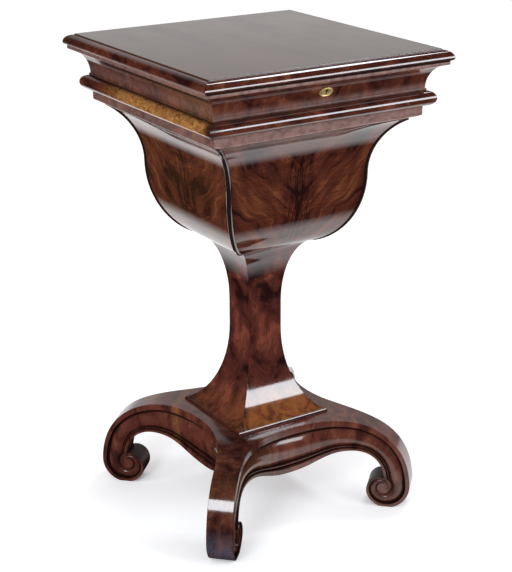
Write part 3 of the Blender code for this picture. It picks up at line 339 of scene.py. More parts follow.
def polish(tree, surface, place, pits, shade, gloss):
    """A polish that is hazy here and there, dull and without reflection where shade is painted,
    and not quite flat.
    """
    rough = spread(tree, noise(tree, place, HAZE, 3), 0.3, 0.7, gloss * 0.75, gloss * 1.5)
    # Painted shade also dulls the polish and takes its reflection away.
    rough = maths(tree, "ADD", rough, maths(tree, "MULTIPLY", shade, 0.3))
    tree.links.new(rough, surface.inputs["Roughness"])
    tree.links.new(spread(tree, shade, 0.0, 1.0, 0.5, 0.0), surface.inputs["Specular IOR Level"])
    height = maths(tree, "MULTIPLY", noise(tree, place, WAVES, 1, 0.4), 6.0)
    height = maths(tree, "SUBTRACT", height, maths(tree, "MULTIPLY", pits, 0.15))
    bump = add(tree, "Bump", {"Height": height, "Strength": 0.22, "Distance": 0.05 * MM})
    tree.links.new(bump.outputs[0], surface.inputs["Normal"])


def wood(name, palette, figure, gloss, golden=GOLDEN, polish_ior=1.8, fleck=FLECK, veil=PAINTED_SHEEN):
    """Wood in three tones, steered by its figure, with fibres and pores, a warm and flecked patch or a
    painted sheen here and there, and painted shade in its hollows and seams."""
    made, tree, surface = new_material(name)
    place = wood_place(tree)
    dark, middle, light = palette
    colour = ramp(tree, figure(tree, place), ((0.0, dark), (0.5, middle), (1.0, light)))
    fibres = noise(tree, place, FIBRES, 3, 0.6)
    colour = mix(tree, spread(tree, fibres, 0.42, 0.62, 0.0, 0.32), colour, dark)
    mottle = spread(tree, noise(tree, place, fleck, 4, 0.65, 1.0), 0.37, 0.6, 0.2, 1)
    colour = mix(tree, maths(tree, "MULTIPLY", patch(tree, "warmth"), mottle), colour, golden)
    pits = spread(tree, noise(tree, place, PORES, 2, 0.5), 0.6, 0.7, 0.0, 1.0)
    colour = mix(tree, maths(tree, "MULTIPLY", pits, 0.45), colour, dark)
    # Painted sheen: the sheen colour mixed in where its patch lies, broken up by noise.
    sheen_breakup = spread(tree, noise(tree, place, SHEEN_BREAKUP, 4, 0.65, 0.6), 0.35, 0.6, 0.5, 1)
    colour = mix(tree, maths(tree, "MULTIPLY", patch(tree, "painted_sheen"), sheen_breakup), colour, veil)
    # Painted shade: where the shade patch lies, the colour goes near-black.
    shade = patch(tree, "shade")
    colour = mix(tree, maths(tree, "MULTIPLY", shade, 0.9), colour, PAINTED_SHADE_AND_MARKS)
    tree.links.new(colour, surface.inputs["Base Color"])
    polish(tree, surface, place, pits, shade, gloss)
    surface.inputs["IOR"].default_value = polish_ior
    return made


def metal(name, clean, stained, roughness, metallic):
    """Worn metal. Where it is less metallic, a dull film lies on it."""
    made, tree, surface = new_material(name)
    place = add(tree, "TexCoord").outputs["Object"]
    stain = noise(tree, place, (160, 160, 160), 4, 0.6)
    colour = mix(tree, spread(tree, stain, 0.42, 0.68, 0.0, 1.0), clean, stained)
    tree.links.new(colour, surface.inputs["Base Color"])
    scratches = noise(tree, place, (900, 260, 900), 2, 0.5)
    rough = maths(tree, "ADD", spread(tree, scratches, 0.3, 0.7, -0.06, 0.08), roughness)
    tree.links.new(rough, surface.inputs["Roughness"])
    bump = add(tree, "Bump", {"Height": scratches, "Strength": 0.1, "Distance": 0.03 * MM})
    tree.links.new(bump.outputs[0], surface.inputs["Normal"])
    surface.inputs["Metallic"].default_value = metallic
    return made


# Palettes: the dark, the middle and the light tone of a wood
RED_BROWN = ((0.018, 0.0047, 0.004), (0.068, 0.0165, 0.0095), (0.14, 0.042, 0.021))
CARVED = ((0.042, 0.0108, 0.0080), (0.094, 0.0250, 0.0158), (0.14, 0.042, 0.023))
# Painted shade: a darker copy of the carved palette, for the front leg.
SHADED_CARVED = ((0.014, 0.004, 0.0036), (0.050, 0.0135, 0.0095), (0.105, 0.034, 0.019))
COLUMN = ((0.014, 0.0038, 0.0036), (0.073, 0.0175, 0.0125), (0.168, 0.044, 0.026))
FIGURED = ((0.012, 0.0029, 0.0026), (0.071, 0.0172, 0.0094), (0.138, 0.042, 0.0168))
LID_TONES = ((0.042, 0.015, 0.010), (0.072, 0.026, 0.016), (0.10, 0.042, 0.025))
BLACKENED = ((0.006, 0.003, 0.003), (0.014, 0.006, 0.005), (0.030, 0.011, 0.008))
PINE = ((0.26, 0.145, 0.062), (0.38, 0.225, 0.100), (0.48, 0.31, 0.16))
BIRCH = ((0.39, 0.24, 0.115), (0.51, 0.345, 0.185), (0.60, 0.43, 0.255))
COLUMN_GOLDEN = (0.30, 0.105, 0.026)
COLUMN_FLECK = (28, 45, 45)

MATERIALS = {
    "mahogany": wood("mahogany_polished", RED_BROWN, plain_figure, 0.085),
    "leg": wood("mahogany_carved", CARVED, cloud_figure, 0.13, polish_ior=1.6),
    # The front leg's carved wood, darker as painted shade, with a cool painted sheen.
    "shaded_leg": wood("mahogany_carved_shaded", SHADED_CARVED, cloud_figure, 0.1, polish_ior=1.6,
                     veil=COOL_PAINTED_SHEEN),
    "figured_mahogany": wood("mahogany_cross_veneer", RED_BROWN, mottled_figure, 0.075),
    "mottled": wood("mahogany_mottled_veneer", COLUMN, mottled_figure, 0.07, COLUMN_GOLDEN,
                    fleck=COLUMN_FLECK),
    "flame": wood("mahogany_flame_veneer", FIGURED, flame_figure, 0.07),
    "lid": wood("mahogany_lid_veneer", LID_TONES, plain_figure, 0.12),
    "ebonised": wood("ebonised_polished", BLACKENED, plain_figure, 0.1),
    "pine": wood("pine_planed", PINE, plain_figure, 0.5, PINE[2], 1.45),
    "birch": wood("birch_waxed", BIRCH, plain_figure, 0.36, BIRCH[2], 1.45),
    "brass": metal("brass_aged", (0.76, 0.57, 0.25), (0.40, 0.26, 0.08), 0.36, 0.7),
    # Near-black brass: painted shade on the keyhole's walls
    "keyhole_shade": metal("brass_shaded_keyhole", (0.012, 0.008, 0.006), (0.005, 0.004, 0.003), 0.6, 0.3),
    "lock_steel": metal("iron_filed", (0.30, 0.29, 0.28), (0.12, 0.10, 0.09), 0.42, 0.8),
}


# Meshes

def turned(angle):
    return Matrix.Rotation(radians(angle), 3, "Z")


def smooth_share(value, low, high):
    """0 up to low, 1 from high on, and a smooth rise between them."""
    t = min(max((value - low) / (high - low), 0), 1)
    return t * t * (3 - 2 * t)


def hump(value, middle, reach):
    """1 at the middle, 0 at its reach to either side."""
    return 1 - smooth_share(abs(value - middle), 0, reach)


def near_edge(p):
    """1 at the outer edge of the case, 0 at its inner face."""
    return smooth_share(-p.y, *CASE_EDGE)


def lid_seam(p):
    """Painted shade under the roll of the lid's moulding."""
    return near_edge(p) * (1 - smooth_share(p.z, LID_BOTTOM + 2.2 * MM, LID_BOTTOM + 3.7 * MM))


def lid_roll(p):
    """The roll at the foot of the lid's moulding, where a highlight is painted."""
    return hump(p.z, LID_BOTTOM + 2.4 * MM, 2.4 * MM)


# Painted shade along the top edge of the frieze, under the lid.
def frieze_seam(p):
    return near_edge(p) * smooth_share(p.z, *FRIEZE_LEVELS)


def cavetto_head(p):
    """The upper part of the hollow under the frieze's fillet, away from its left end."""
    return hump(p.z, HOLLOW_LEVEL, 6 * MM) * smooth_share(p.x, *HOLLOW_START)


# Painted shade along the foot of the bullnose, where it meets the band.
def bullnose_seam(p):
    return 1 - smooth_share(p.z, BULLNOSE_BOTTOM + 1.2 * MM, BULLNOSE_BOTTOM + 2.4 * MM)


def bullnose_back(p):
    """Where the bullnose runs under the frieze."""
    return smooth_share(p.z, BULLNOSE_TOP - 1.6 * MM, BULLNOSE_TOP - 0.6 * MM)


def golden_stretch(p):
    """The paler stretch of the left bullnose."""
    return smooth_share(p.x, *GOLDEN_START) * (1 - smooth_share(p.x, *GOLDEN_END))


def left_bullnose_shade(p):
    """Painted shade in the seam and under the frieze, and a dark dull mark at the right-hand mitre."""
    mitre = smooth_share(p.x, *MITRE_START)
    return max(bullnose_seam(p), 0.85 * bullnose_back(p), 0.6 * mitre)


def front_bullnose_shade(p):
    """Painted shade in the seam, and a dark dull mark at the left-hand mitre."""
    return max(bullnose_seam(p), 0.6 * smooth_share(-p.x, *LEFT_MITRE_START))


# Painted shade at the foot of the frieze, over the bullnose.
def frieze_foot(p):
    return 1 - smooth_share(p.z, FRIEZE_BOTTOM + 0.5 * MM, FRIEZE_BOTTOM + 2.5 * MM)


def fillet_share(p):
    return smooth_share(p.z, FILLET_BOTTOM - 0.1 * MM, FILLET_BOTTOM + 0.1 * MM)


def cavetto_foot(p):
    return hump(p.z, FRIEZE_BOTTOM + 6 * MM, 8 * MM)


def cavetto_middle(p):
    return hump(p.z, FRIEZE_BOTTOM + 12 * MM, 10 * MM)


def band_share(p):
    return smooth_share(p.z, BAND_BOTTOM, BAND_BOTTOM + BAND_MARGIN)


def cove_head(p):
    """The hollow just under the band."""
    return smooth_share(p.z, BAND_BOTTOM - 8 * MM, BAND_BOTTOM - 2 * MM)


def leg_front(p):
    """The outer face of a leg, low down."""
    return (1 - smooth_share(p.z, *LEG_FOOT)) * smooth_share(p.x, *LEG_FACE)


def column_warmth(p):
    """Warm at the foot, most of all on the front."""
    front = smooth_share(-p.y - abs(p.x), *COLUMN_FRONT)
    return (0.15 + 0.5 * front) * (1 - smooth_share(p.z, *COLUMN_FOOT))


# Warmer patches, painted shade (with dark marks at the bullnose mitres) and painted sheen, by node.
# Points are as for the front side, along +X for a leg, and as they stand for the column.
WARM_PATCHES = {
    "bullnose_left": golden_stretch,
    "frieze_left": lambda p: 0.22 * smooth_share(p.x, *FRIEZE_WARMTH),
    "body_panel_left": lambda p: 0.06,
    "column": column_warmth,
    "leg_back_left": lambda p: 0.4 * hump(p.x, 127 * MM, 12 * MM),
    "leg_front_left": lambda p: 0.12 * hump(p.z, 115 * MM, 35 * MM),
}
# Painted shade: in the seams under the lid's mouldings, along the frieze's top and along the
# bullnose's foot.
DARK_PATCHES = {}
for side_name in SIDES:
    DARK_PATCHES[f"lid_moulding_{side_name}"] = lid_seam
    DARK_PATCHES[f"frieze_{side_name}"] = frieze_seam
    DARK_PATCHES[f"bullnose_{side_name}"] = bullnose_seam
# Painted shade at the far end of the left lid moulding, in place of its seam.
DARK_PATCHES["lid_moulding_left"] = lambda p: 0.5 * smooth_share(-p.x, *FAR_END)
# Painted shade and a painted dark reflection under the left frieze's fillet, and painted shade at its
# foot.
DARK_PATCHES["frieze_left"] = lambda p: max(0.85 * cavetto_head(p), 0.7 * frieze_foot(p))
DARK_PATCHES["bullnose_left"] = left_bullnose_shade
DARK_PATCHES["bullnose_front"] = front_bullnose_shade
# Painted sheen: painted reflections on the band, the hollow under it and the frieze's fillet and
# hollow, a painted highlight on the left lid moulding's roll, and a cool painted reflection low on the
# front leg.
PAINTED_SHEEN_PATCHES = {
    "lid_moulding_left": lambda p: 0.6 * lid_roll(p),
    "body_panel_front": lambda p: max(0.62 * band_share(p), 0.7 * cove_head(p)),
    "body_panel_left": lambda p: max(0.25 * band_share(p), 0.35 * cove_head(p)),
    "frieze_front": lambda p: max(fillet_share(p), 0.4 * cavetto_foot(p)),
    "frieze_left": lambda p: max(0.5 * fillet_share(p), 0.1 + 0.12 * cavetto_middle(p)),
    "leg_front_left": lambda p: 0.26 * leg_front(p),
}
PATCHES = {"warmth": WARM_PATCHES, "shade": DARK_PATCHES, "painted_sheen": PAINTED_SHEEN_PATCHES}


def face_turn(normal):
    """The quarter turn from the front of the side that a face looks to."""
    return 90 * round(degrees(atan2(normal.x, -normal.y)) / 90)


def paint(mesh, name, kind, value, turn=None):
    """Stores value(point) at each face's corners. The point is first turned back to the front,
    by turn or by the face's own side."""
    layer = mesh.attributes.new(name, kind, "CORNER").data
    field = "vector" if kind == "FLOAT_VECTOR" else "value"
    for polygon in mesh.polygons:
        back = turned(-face_turn(polygon.normal) if turn is None else -turn)
        for corner in polygon.loop_indices:
            place = back @ mesh.vertices[mesh.loops[corner].vertex_index].co
            setattr(layer[corner], field, value(place))


def finish_piece(name, mesh, node, look, spot, turn=0.0):
    """A piece that stands for a node: it rides on the node's body and takes the given look.
    spot gives a point's place in the wood from its place in the unturned frame."""
    paint(mesh, "wood", "FLOAT_VECTOR", spot, turn)
    for layer, patches in PATCHES.items():
        if node in patches:
            paint(mesh, layer, "FLOAT", patches[node], turn or 0)
    mesh.materials.append(MATERIALS[look])
    made = bpy.data.objects.new(name, mesh)
    bpy.context.scene.collection.objects.link(made)
    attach(made, BODY_OF[node])
    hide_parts(node)
    return made


def ease(obj, width, limit="ANGLE"):
    """Rounds an object's edges a little, so that they catch the light."""
    bevel = obj.modifiers.new("eased_edges", "BEVEL")
    bevel.width = width
    bevel.segments = 2
    bevel.limit_method = limit
    bevel.angle_limit = SMOOTH_ANGLE
    bevel.harden_normals = True


def cut_across(bm, place, direction):
    everything = [*bm.verts, *bm.edges, *bm.faces]
    bmesh.ops.bisect_plane(bm, geom=everything, plane_co=place, plane_no=direction)


def slice_up(bm, node, turn):
    """Cuts faces across a run and at its levels, so that patches have points to hang on."""
    if any(node in patches for patches in PATCHES.values()):
        along = turned(turn) @ Vector((1, 0, 0))
        for i in range(1 - RUN_SLICES, RUN_SLICES):
            cut_across(bm, along * CAD_BOX[1][0] * i / RUN_SLICES, along)
    for level in LEVEL_CUTS.get(node.rsplit("_", 1)[0], ()):
        cut_across(bm, Vector((0, 0, level)), Vector((0, 0, 1)))


def welded_mesh(node, turn):
    """A node's solid with its triangles joined into whole faces, smooth where it is curved."""
    source = NODES[node].data
    bm = bmesh.new()
    verts = [bm.verts.new(vert.co) for vert in source.vertices]
    for polygon in source.polygons:
        bm.faces.new([verts[i] for i in polygon.vertices])
    bmesh.ops.remove_doubles(bm, verts=bm.verts, dist=WELD)
    bmesh.ops.dissolve_limit(bm, angle_limit=FLAT_ANGLE, verts=bm.verts, edges=bm.edges)
    bmesh.ops.recalc_face_normals(bm, faces=bm.faces)
    slice_up(bm, node, turn or 0)
    mesh = bpy.data.meshes.new(node)
    bm.to_mesh(mesh)
    bm.free()
    mesh.shade_smooth()
    return mesh


def line_inside(mesh, turn, lining):
    """Gives the faces that look into the case another material."""
    inward = turned(turn) @ Vector((0, 1, 0))
    mesh.materials.append(MATERIALS[lining])
    for polygon in mesh.polygons:
        if polygon.normal.dot(inward) > INWARD_LEAST:
            polygon.material_index = len(mesh.materials) - 1


def dressed(node, look, spot, turn=0.0, width=EDGE_EASE, lining=None):
    """A node's own solid, in its finish and with eased edges."""
    made = finish_piece(f"{node}_dressed", welded_mesh(node, turn), node, look, spot, turn)
    if lining:
        line_inside(made.data, turn, lining)
    ease(made, width)
    return made


def seeded(shape, seed):
    """The same grain, cut from another part of the tree."""
    return lambda p: Vector(shape(p)) + Vector((0, 0, SEED_STEP * seed))


def along_x(p):
    return p.x, p.z, p.y


def along_y(p):
    return p.y, p.x, p.z


def upright(p):
    return p.z, p.x, p.y


def cross_grain(p):
    """Grain that runs up a moulding and out with it."""
    return p.z - p.y, p.x, 0.0


def face_on(p):
    """Across and up a veneered face, from its middle."""
    return p.x, p.z, 0.0


# Legs and base block

def cubic_curve(start, lead_out, lead_in, end, steps):
    """Points on one cubic curve, with both ends."""
    points = []
    for i in range(steps + 1):
        t = i / steps
        share = ((1 - t) ** 3, 3 * t * (1 - t) ** 2, 3 * t * t * (1 - t), t ** 3)
        knots = (start, lead_out, lead_in, end)
        points.append(tuple(sum(s * k[j] for s, k in zip(share, knots)) for j in (0, 1)))
    return points


def side_arc():
    """Radius of a concave side, and how far its middle lies from the table's axis."""
    radius = (SIDE_HALF / ROOT2 - LEG_HALF_WIDTH) / (1 - 1 / ROOT2)
    return radius, SIDE_HALF + radius


def leg_half_width(out):
    radius, centre = side_arc()
    middle = centre / ROOT2
    if out >= middle:
        return LEG_HALF_WIDTH
    return middle - sqrt(radius ** 2 - (middle - out) ** 2)


def groove(line, start, end, after):
    """A channel across a moulded side. It comes up to the depth after."""
    points = [(start + (end - start) * t, GROOVE_DEPTH * depth, painted_shade) for t, depth, painted_shade in line]
    return points + [(end, after, 0)]


def side_section():
    """(share of the way from the upper to the lower edge, depth, painted shade) across a moulded side.
    """
    first = BORDER_TOP_SHARE + UPPER_GROOVE_SHARE
    last = BORDER_FOOT_SHARE - LOWER_GROOVE_SHARE
    section = [(0, 0, 0), (BORDER_TOP_SHARE / 2, -BORDER_CROWN, 0), (BORDER_TOP_SHARE, 0, 0)]
    section += groove(UPPER_GROOVE, BORDER_TOP_SHARE, first, BAND_SWELL)
    for i in range(1, BAND_STEPS + 1):
        t = i / BAND_STEPS
        section.append((first + (last - first) * t, BAND_SWELL * abs(2 * t - 1) ** BAND_FULLNESS, 0))
    section += groove(LOWER_GROOVE, last, BORDER_FOOT_SHARE, 0)
    return section + [((1 + BORDER_FOOT_SHARE) / 2, -BORDER_CROWN, 0), (1, 0, 0)]


def spiral_radius(step):
    return max(VOLUTE_SIZE - VOLUTE_PITCH * SPIRAL_STEP_ANGLE * step / 360, VOLUTE_EYE)


def volute_height():
    return spiral_radius((90 + SPIRAL_START_ANGLE) / SPIRAL_STEP_ANGLE) - FOOT_FLAT


def spiral_point(step, radius=None):
    """A point of the scroll's edge, so many sections after its start."""
    angle = radians(SPIRAL_START_ANGLE - SPIRAL_STEP_ANGLE * step)
    if radius is None:
        radius = spiral_radius(step)
    return VOLUTE_RADIUS + radius * cos(angle), volute_height() + radius * sin(angle)


def spiral_steps():
    return ceil((VOLUTE_SIZE - VOLUTE_EYE) / VOLUTE_PITCH * 360 / SPIRAL_STEP_ANGLE)


def lower_edge(out):
    middle = SIDE_HALF / ROOT2
    share = (out - middle) / (JOINT_RADIUS - middle)
    return BASE_HEIGHT - APRON_DEPTH + JOINT_RISE * share ** 2


def leg_back(joint):
    """The upper edge of the leg, from the joint to the scroll's start."""
    flat = (joint + SHOULDER_START, BASE_HEIGHT)
    start = spiral_point(0)
    reach = start[0] - flat[0]
    fall = BASE_HEIGHT - start[1]
    shoulder = (flat[0] + SHOULDER_LEAD * reach, BASE_HEIGHT)
    lean = (start[0] - LEAN_LEAD[0] * reach, start[1] + LEAN_LEAD[1] * fall)
    return [(joint, BASE_HEIGHT)] + cubic_curve(flat, shoulder, lean, start, LEG_SECTION_COUNT - 1)


def leg_arch(joint, count):
    """The lower edge of the leg, from the joint to where it meets the scroll, in so many points."""
    foot = (joint, lower_edge(JOINT_RADIUS))
    crown = (ARCH_RADIUS, ARCH_HEIGHT)
    notch = spiral_point(INNER_TURN)
    span = crown[0] - foot[0]
    rise = crown[1] - foot[1]
    over = notch[0] - crown[0]
    drop = crown[1] - notch[1]
    half = LEG_SECTION_COUNT // 2 + 1
    lead_out = (foot[0] + RISE_LEAD[0] * span, foot[1] + RISE_LEAD[1] * rise)
    lead_in = (crown[0] - CROWN_LEAD * span, crown[1])
    arch = cubic_curve(foot, lead_out, lead_in, crown, half - 1)
    lead_out = (crown[0] + OVER_LEAD * over, crown[1])
    lead_in = (notch[0] - NOTCH_LEAD[0] * over, notch[1] + NOTCH_LEAD[1] * drop)
    return arch + cubic_curve(crown, lead_out, lead_in, notch, count - half)[1:]


def straight_section(outer, inner, section):
    return [(outer[0] + (inner[0] - outer[0]) * t, outer[1] + (inner[1] - outer[1]) * t)
            for t, _, _ in section]


def scroll_section(step, section):
    """Points across the scroll. Near its eye they turn with the scroll."""
    straight = straight_section(spiral_point(step), spiral_point(step + INNER_TURN), section)
    share = min(1, step * SPIRAL_STEP_ANGLE / TURNING_ANGLE)
    first = spiral_radius(step)
    last = spiral_radius(step + INNER_TURN)
    points = []
    for (t, _, _), (x, z) in zip(section, straight):
        round_x, round_z = spiral_point(step - t * SECTION_LAG_ANGLE / SPIRAL_STEP_ANGLE,
                                        first + (last - first) * t)
        points.append((x + (round_x - x) * share, z + (round_z - z) * share))
    return points


def leg_sections():
    """Rows of (x, z, depth, painted shade) points across the leg, from the joint to the scroll's eye.
    """
    section = side_section()
    rows = []
    joint = JOINT_RADIUS + JOINT_GAP / 2
    back = leg_back(joint)
    arch = leg_arch(joint, len(back))
    for outer, inner in list(zip(back, arch))[:-1]:
        points = straight_section(outer, inner, section)
        relief = RELIEF_LEAST + (1 - RELIEF_LEAST) * dist(outer, inner) / APRON_DEPTH
        rows.append([(x, z, depth * relief, painted_shade) for (x, z), (_, depth, painted_shade) in zip(points, section)])
    full = VOLUTE_SIZE - spiral_radius(INNER_TURN)
    for step in range(spiral_steps() + 1):
        width = spiral_radius(step) - spiral_radius(step + INNER_TURN)
        points = scroll_section(step, section)
        narrow = relief * width / full
        rows.append([(x, z, depth * narrow, painted_shade) for (x, z), (_, depth, painted_shade) in zip(points, section)])
    return rows, len(back) - 1


def shaded_vert(bm, spot, painted_shade):
    """A vertex that knows how much shade is painted there."""
    shade = bm.verts.layers.float.get("shade") or bm.verts.layers.float.new("shade")
    vert = bm.verts.new(spot)
    vert[shade] = painted_shade
    return vert


def scroll_heart(x, z):
    """1 in the inner turns of the scroll, 0 outside them."""
    away = dist((x, z), (VOLUTE_RADIUS, volute_height()))
    return 1 - smooth_share(away, *SCROLL_HEART)


def leg_side(bm, rows, start, side, scroll_shade):
    """The vertices of one moulded face, with those shared by two turns made once."""
    grid = []
    for index, row in enumerate(rows):
        curl_shade = CURL_DARKER * scroll_shade * smooth_share(index - start, *CURL_STEPS)
        verts = []
        for j, (x, z, depth, painted_shade) in enumerate(row[:-1]):
            half = leg_half_width(x) - depth
            # Painted shade: in the grooves, over the scroll's inner turns, and more on its back where
            # it curls under the leg.
            painted_shade = max(painted_shade, scroll_shade * scroll_heart(x, z), 0 if j else curl_shade)
            verts.append(shaded_vert(bm, (x, side * half, max(z, 0)), painted_shade))
        grid.append(verts)
    for index, row in enumerate(rows):
        shared = index + INNER_TURN
        if index >= start and shared < len(rows):
            grid[index].append(grid[shared][0])
        else:
            x, z, depth, painted_shade = row[-1]
            half = leg_half_width(x) - depth
            grid[index].append(shaded_vert(bm, (x, side * half, z), painted_shade))
    return grid


def close_eye(bm, grid):
    """A low boss over the round end of the scroll."""
    shared = len(grid) - 1 - INNER_TURN
    loop = [row[-1] for row in grid[shared:]]
    loop += grid[-1][-2:0:-1]
    side = 1 if loop[0].co.y > 0 else -1
    middle = bm.verts.new((VOLUTE_RADIUS, side * (LEG_HALF_WIDTH + EYE_BOSS), volute_height()))
    for first, second in zip(loop, loop[1:] + loop[:1]):
        bm.faces.new((first, second, middle))


def mark_rim(bm, edge):
    """Gives the edges along a line of vertices the weight that eases them."""
    layers = bm.edges.layers.float
    weight = layers.get("bevel_weight_edge") or layers.new("bevel_weight_edge")
    for first, second in zip(edge, edge[1:]):
        found = bm.edges.get((first, second))
        if found:
            found[weight] = 1.0


def leg_bmesh(scroll_shade):
    """A leg along +X: the moulded strip winds into its scroll."""
    rows, start = leg_sections()
    bm = bmesh.new()
    grids = [leg_side(bm, rows, start, side, scroll_shade) for side in (1, -1)]
    for grid in grids:
        for first, second in zip(grid, grid[1:]):
            for j in range(len(first) - 1):
                ring = [first[j], first[j + 1], second[j + 1], second[j]]
                bm.faces.new(list(dict.fromkeys(ring)))
        close_eye(bm, grid)
    left, right = grids
    notch = start + INNER_TURN
    back = [(left[i][0], right[i][0]) for i in range(notch + 1)]
    arch = [(left[i][-1], right[i][-1]) for i in range(start + 1)]
    joint = list(zip(left[0], right[0]))
    for edge in (back, arch, joint):
        for (a, b), (c, d) in zip(edge, edge[1:]):
            bm.faces.new((a, b, d, c))
    for edge in (back, arch):
        for side in (0, 1):
            mark_rim(bm, [pair[side] for pair in edge])
    bmesh.ops.recalc_face_normals(bm, faces=bm.faces)
    return bm


def rim_mesh(bm, name, turn=0.0):
    """A carved piece's mesh, turned to its place, smooth but for its sharp edges."""
    bmesh.ops.rotate(bm, verts=bm.verts, matrix=turned(turn))
    mesh = bpy.data.meshes.new(name)
    bm.to_mesh(mesh)
    bm.free()
    mesh.shade_smooth()
    mesh.set_sharp_from_angle(angle=SHARP_ANGLE)
    return mesh


def leg_grain(p):
    """Grain that runs up the leg's sides, and along its back."""
    up, out = LEG_GRAIN
    return p.z * up + p.x * out, p.x - out * p.z, p.y


def add_legs():
    for i, corner in enumerate(CORNERS):
        turn = 45 + 90 * i
        node = f"leg_{corner}"
        # The front leg takes the darker copy, as painted shade, and no shade painted on its scroll.
        look, painted_shade = ("shaded_leg", 0) if corner == "front_left" else ("leg", SCROLL_SHADE)
        mesh = rim_mesh(leg_bmesh(painted_shade), node, turn)
        leg = finish_piece(f"{node}_carved", mesh, node, look, seeded(leg_grain, i), turn)
        ease(leg, RIM_EASE, "WEIGHT")


def block_rows():
    """Rows of (point, painted shade) down the moulded sides of the block, once round it."""
    radius, centre = side_arc()
    joint = JOINT_RADIUS - JOINT_GAP / 2
    half = leg_half_width(joint)
    reach = degrees(atan2((joint - half) / ROOT2, centre - (joint + half) / ROOT2))
    rows = []
    for quarter in range(4):
        for i in range(BLOCK_STEPS + 1):
            share = 2 * i / BLOCK_STEPS - 1
            angle = radians(reach * share)
            lean = radians(45 * share)
            x = radius * sin(angle)
            out = centre - radius * cos(angle)
            low = lower_edge((abs(x) + out) / ROOT2)
            row = []
            for down, depth, painted_shade in side_section():
                z = BASE_HEIGHT + (low - BASE_HEIGHT) * down
                spot = Vector((x + depth * sin(lean), -out + depth * cos(lean), z))
                row.append((turned(90 * quarter) @ spot, painted_shade))
            rows.append(row)
    return rows


def add_base_block():
    bm = bmesh.new()
    rows = [[shaded_vert(bm, spot, painted_shade) for spot, painted_shade in row] for row in block_rows()]
    for first, second in zip(rows, rows[1:] + rows[:1]):
        for j in range(len(first) - 1):
            bm.faces.new((first[j], second[j], second[j + 1], first[j + 1]))
    for index, level in ((0, BASE_HEIGHT), (-1, BASE_HEIGHT - APRON_DEPTH)):
        middle = bm.verts.new((0, 0, level))
        for first, second in zip(rows, rows[1:] + rows[:1]):
            bm.faces.new((first[index], second[index], middle))
    for quarter in range(4):
        side = rows[quarter * (BLOCK_STEPS + 1):(quarter + 1) * (BLOCK_STEPS + 1)]
        mark_rim(bm, [row[0] for row in side])
        mark_rim(bm, [row[-1] for row in side])
    bmesh.ops.recalc_face_normals(bm, faces=bm.faces)
    mesh = rim_mesh(bm, "base_block")
    block = finish_piece("base_block_carved", mesh, "base_block", "leg", seeded(upright, 7))
    ease(block, RIM_EASE, "WEIGHT")


# Pieces that keep their solid's shape

def add_sides(stem, look, shape, width=EDGE_EASE, lining=None):
    """The four runs round the square, each from its own piece of wood."""
    return [dressed(f"{stem}_{side}", look, seeded(shape, i), 90 * i, width, lining)
            for i, side in enumerate(SIDES)]


def steepen(mesh):
    """Lowers the outer edge of a foot strip's bevel, so that it stands taller and steeper."""
    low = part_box("foot_strip_front")[0]
    for vert in mesh.vertices:
        outermost = max(abs(vert.co.x), abs(vert.co.y)) > -low.y - STRIP_EDGE
        if outermost and vert.co.z > low.z + STRIP_DROP:
            vert.co.z -= STRIP_DROP


def add_case_and_body():
    add_sides("lid_moulding", "figured_mahogany", along_x)
    add_sides("frieze", "figured_mahogany", cross_grain, lining="pine")
    add_sides("bullnose", "figured_mahogany", along_x, lining="pine")
    add_sides("body_panel", "flame", face_on, lining="pine")
    for strip in add_sides("foot_strip", "mahogany", along_x, STRIP_EASE):
        steepen(strip.data)
    for i, corner in enumerate(CORNERS):
        dressed(f"corner_bead_{corner}", "ebonised", seeded(upright, i), 45 + 90 * i, BEAD_EASE)
    dressed("column", "mottled", seeded(upright, 5), None)
    dressed("lid_board", "lid", seeded(along_y, 9))


def add_inside():
    dressed("column_head_block", "pine", seeded(along_x, 1))
    dressed("body_floor", "pine", seeded(along_x, 2))
    for i, side in enumerate(("left", "right")):
        dressed(f"ledger_{side}", "birch", seeded(along_y, i))
    till = [node for node in NODES if node.startswith("till_")]
    for i, node in enumerate(sorted(till)):
        low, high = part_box(node)
        shape = along_x if high.x - low.x > high.y - low.y else along_y
        dressed(node, "birch", seeded(shape, i), width=TILL_EASE)


def refine_escutcheon(mesh):
    """A narrower plate with a wider keyhole, whose walls are painted near-black as shade."""
    low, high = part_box("escutcheon")
    middle = (low.z + high.z) / 2

    def at_keyhole(p):
        return abs(p.x) < KEYHOLE_REACH[0] and abs(p.z - middle) < KEYHOLE_REACH[1]

    # Painted shade: the keyhole's walls take the near-black brass.
    mesh.materials.append(MATERIALS["keyhole_shade"])
    for polygon in mesh.polygons:
        if at_keyhole(polygon.center) and abs(polygon.normal.y) < KEYHOLE_WALL:
            polygon.material_index = 1
    for vert in mesh.vertices:
        vert.co.x *= KEYHOLE_WIDENING if at_keyhole(vert.co) else PLATE_NARROWING


def add_metal():
    for node, slot in SLOT_OF.items():
        if slot in ("brass", "lock_steel"):
            made = dressed(node, slot, along_x, width=METAL_EASE)
            if node == "escutcheon":
                refine_escutcheon(made.data)


# Stage, light and camera

FLOOR_HALF = 12.0
FLOOR_COLOUR = (0.93, 0.91, 0.905)
FLOOR_ROUGHNESS = 0.9
FLOOR_GLOW = (0.19, 0.44)
GLOW_REACH = (0.2, 1.25)  # from the table's middle: where the glow is least and where it is full
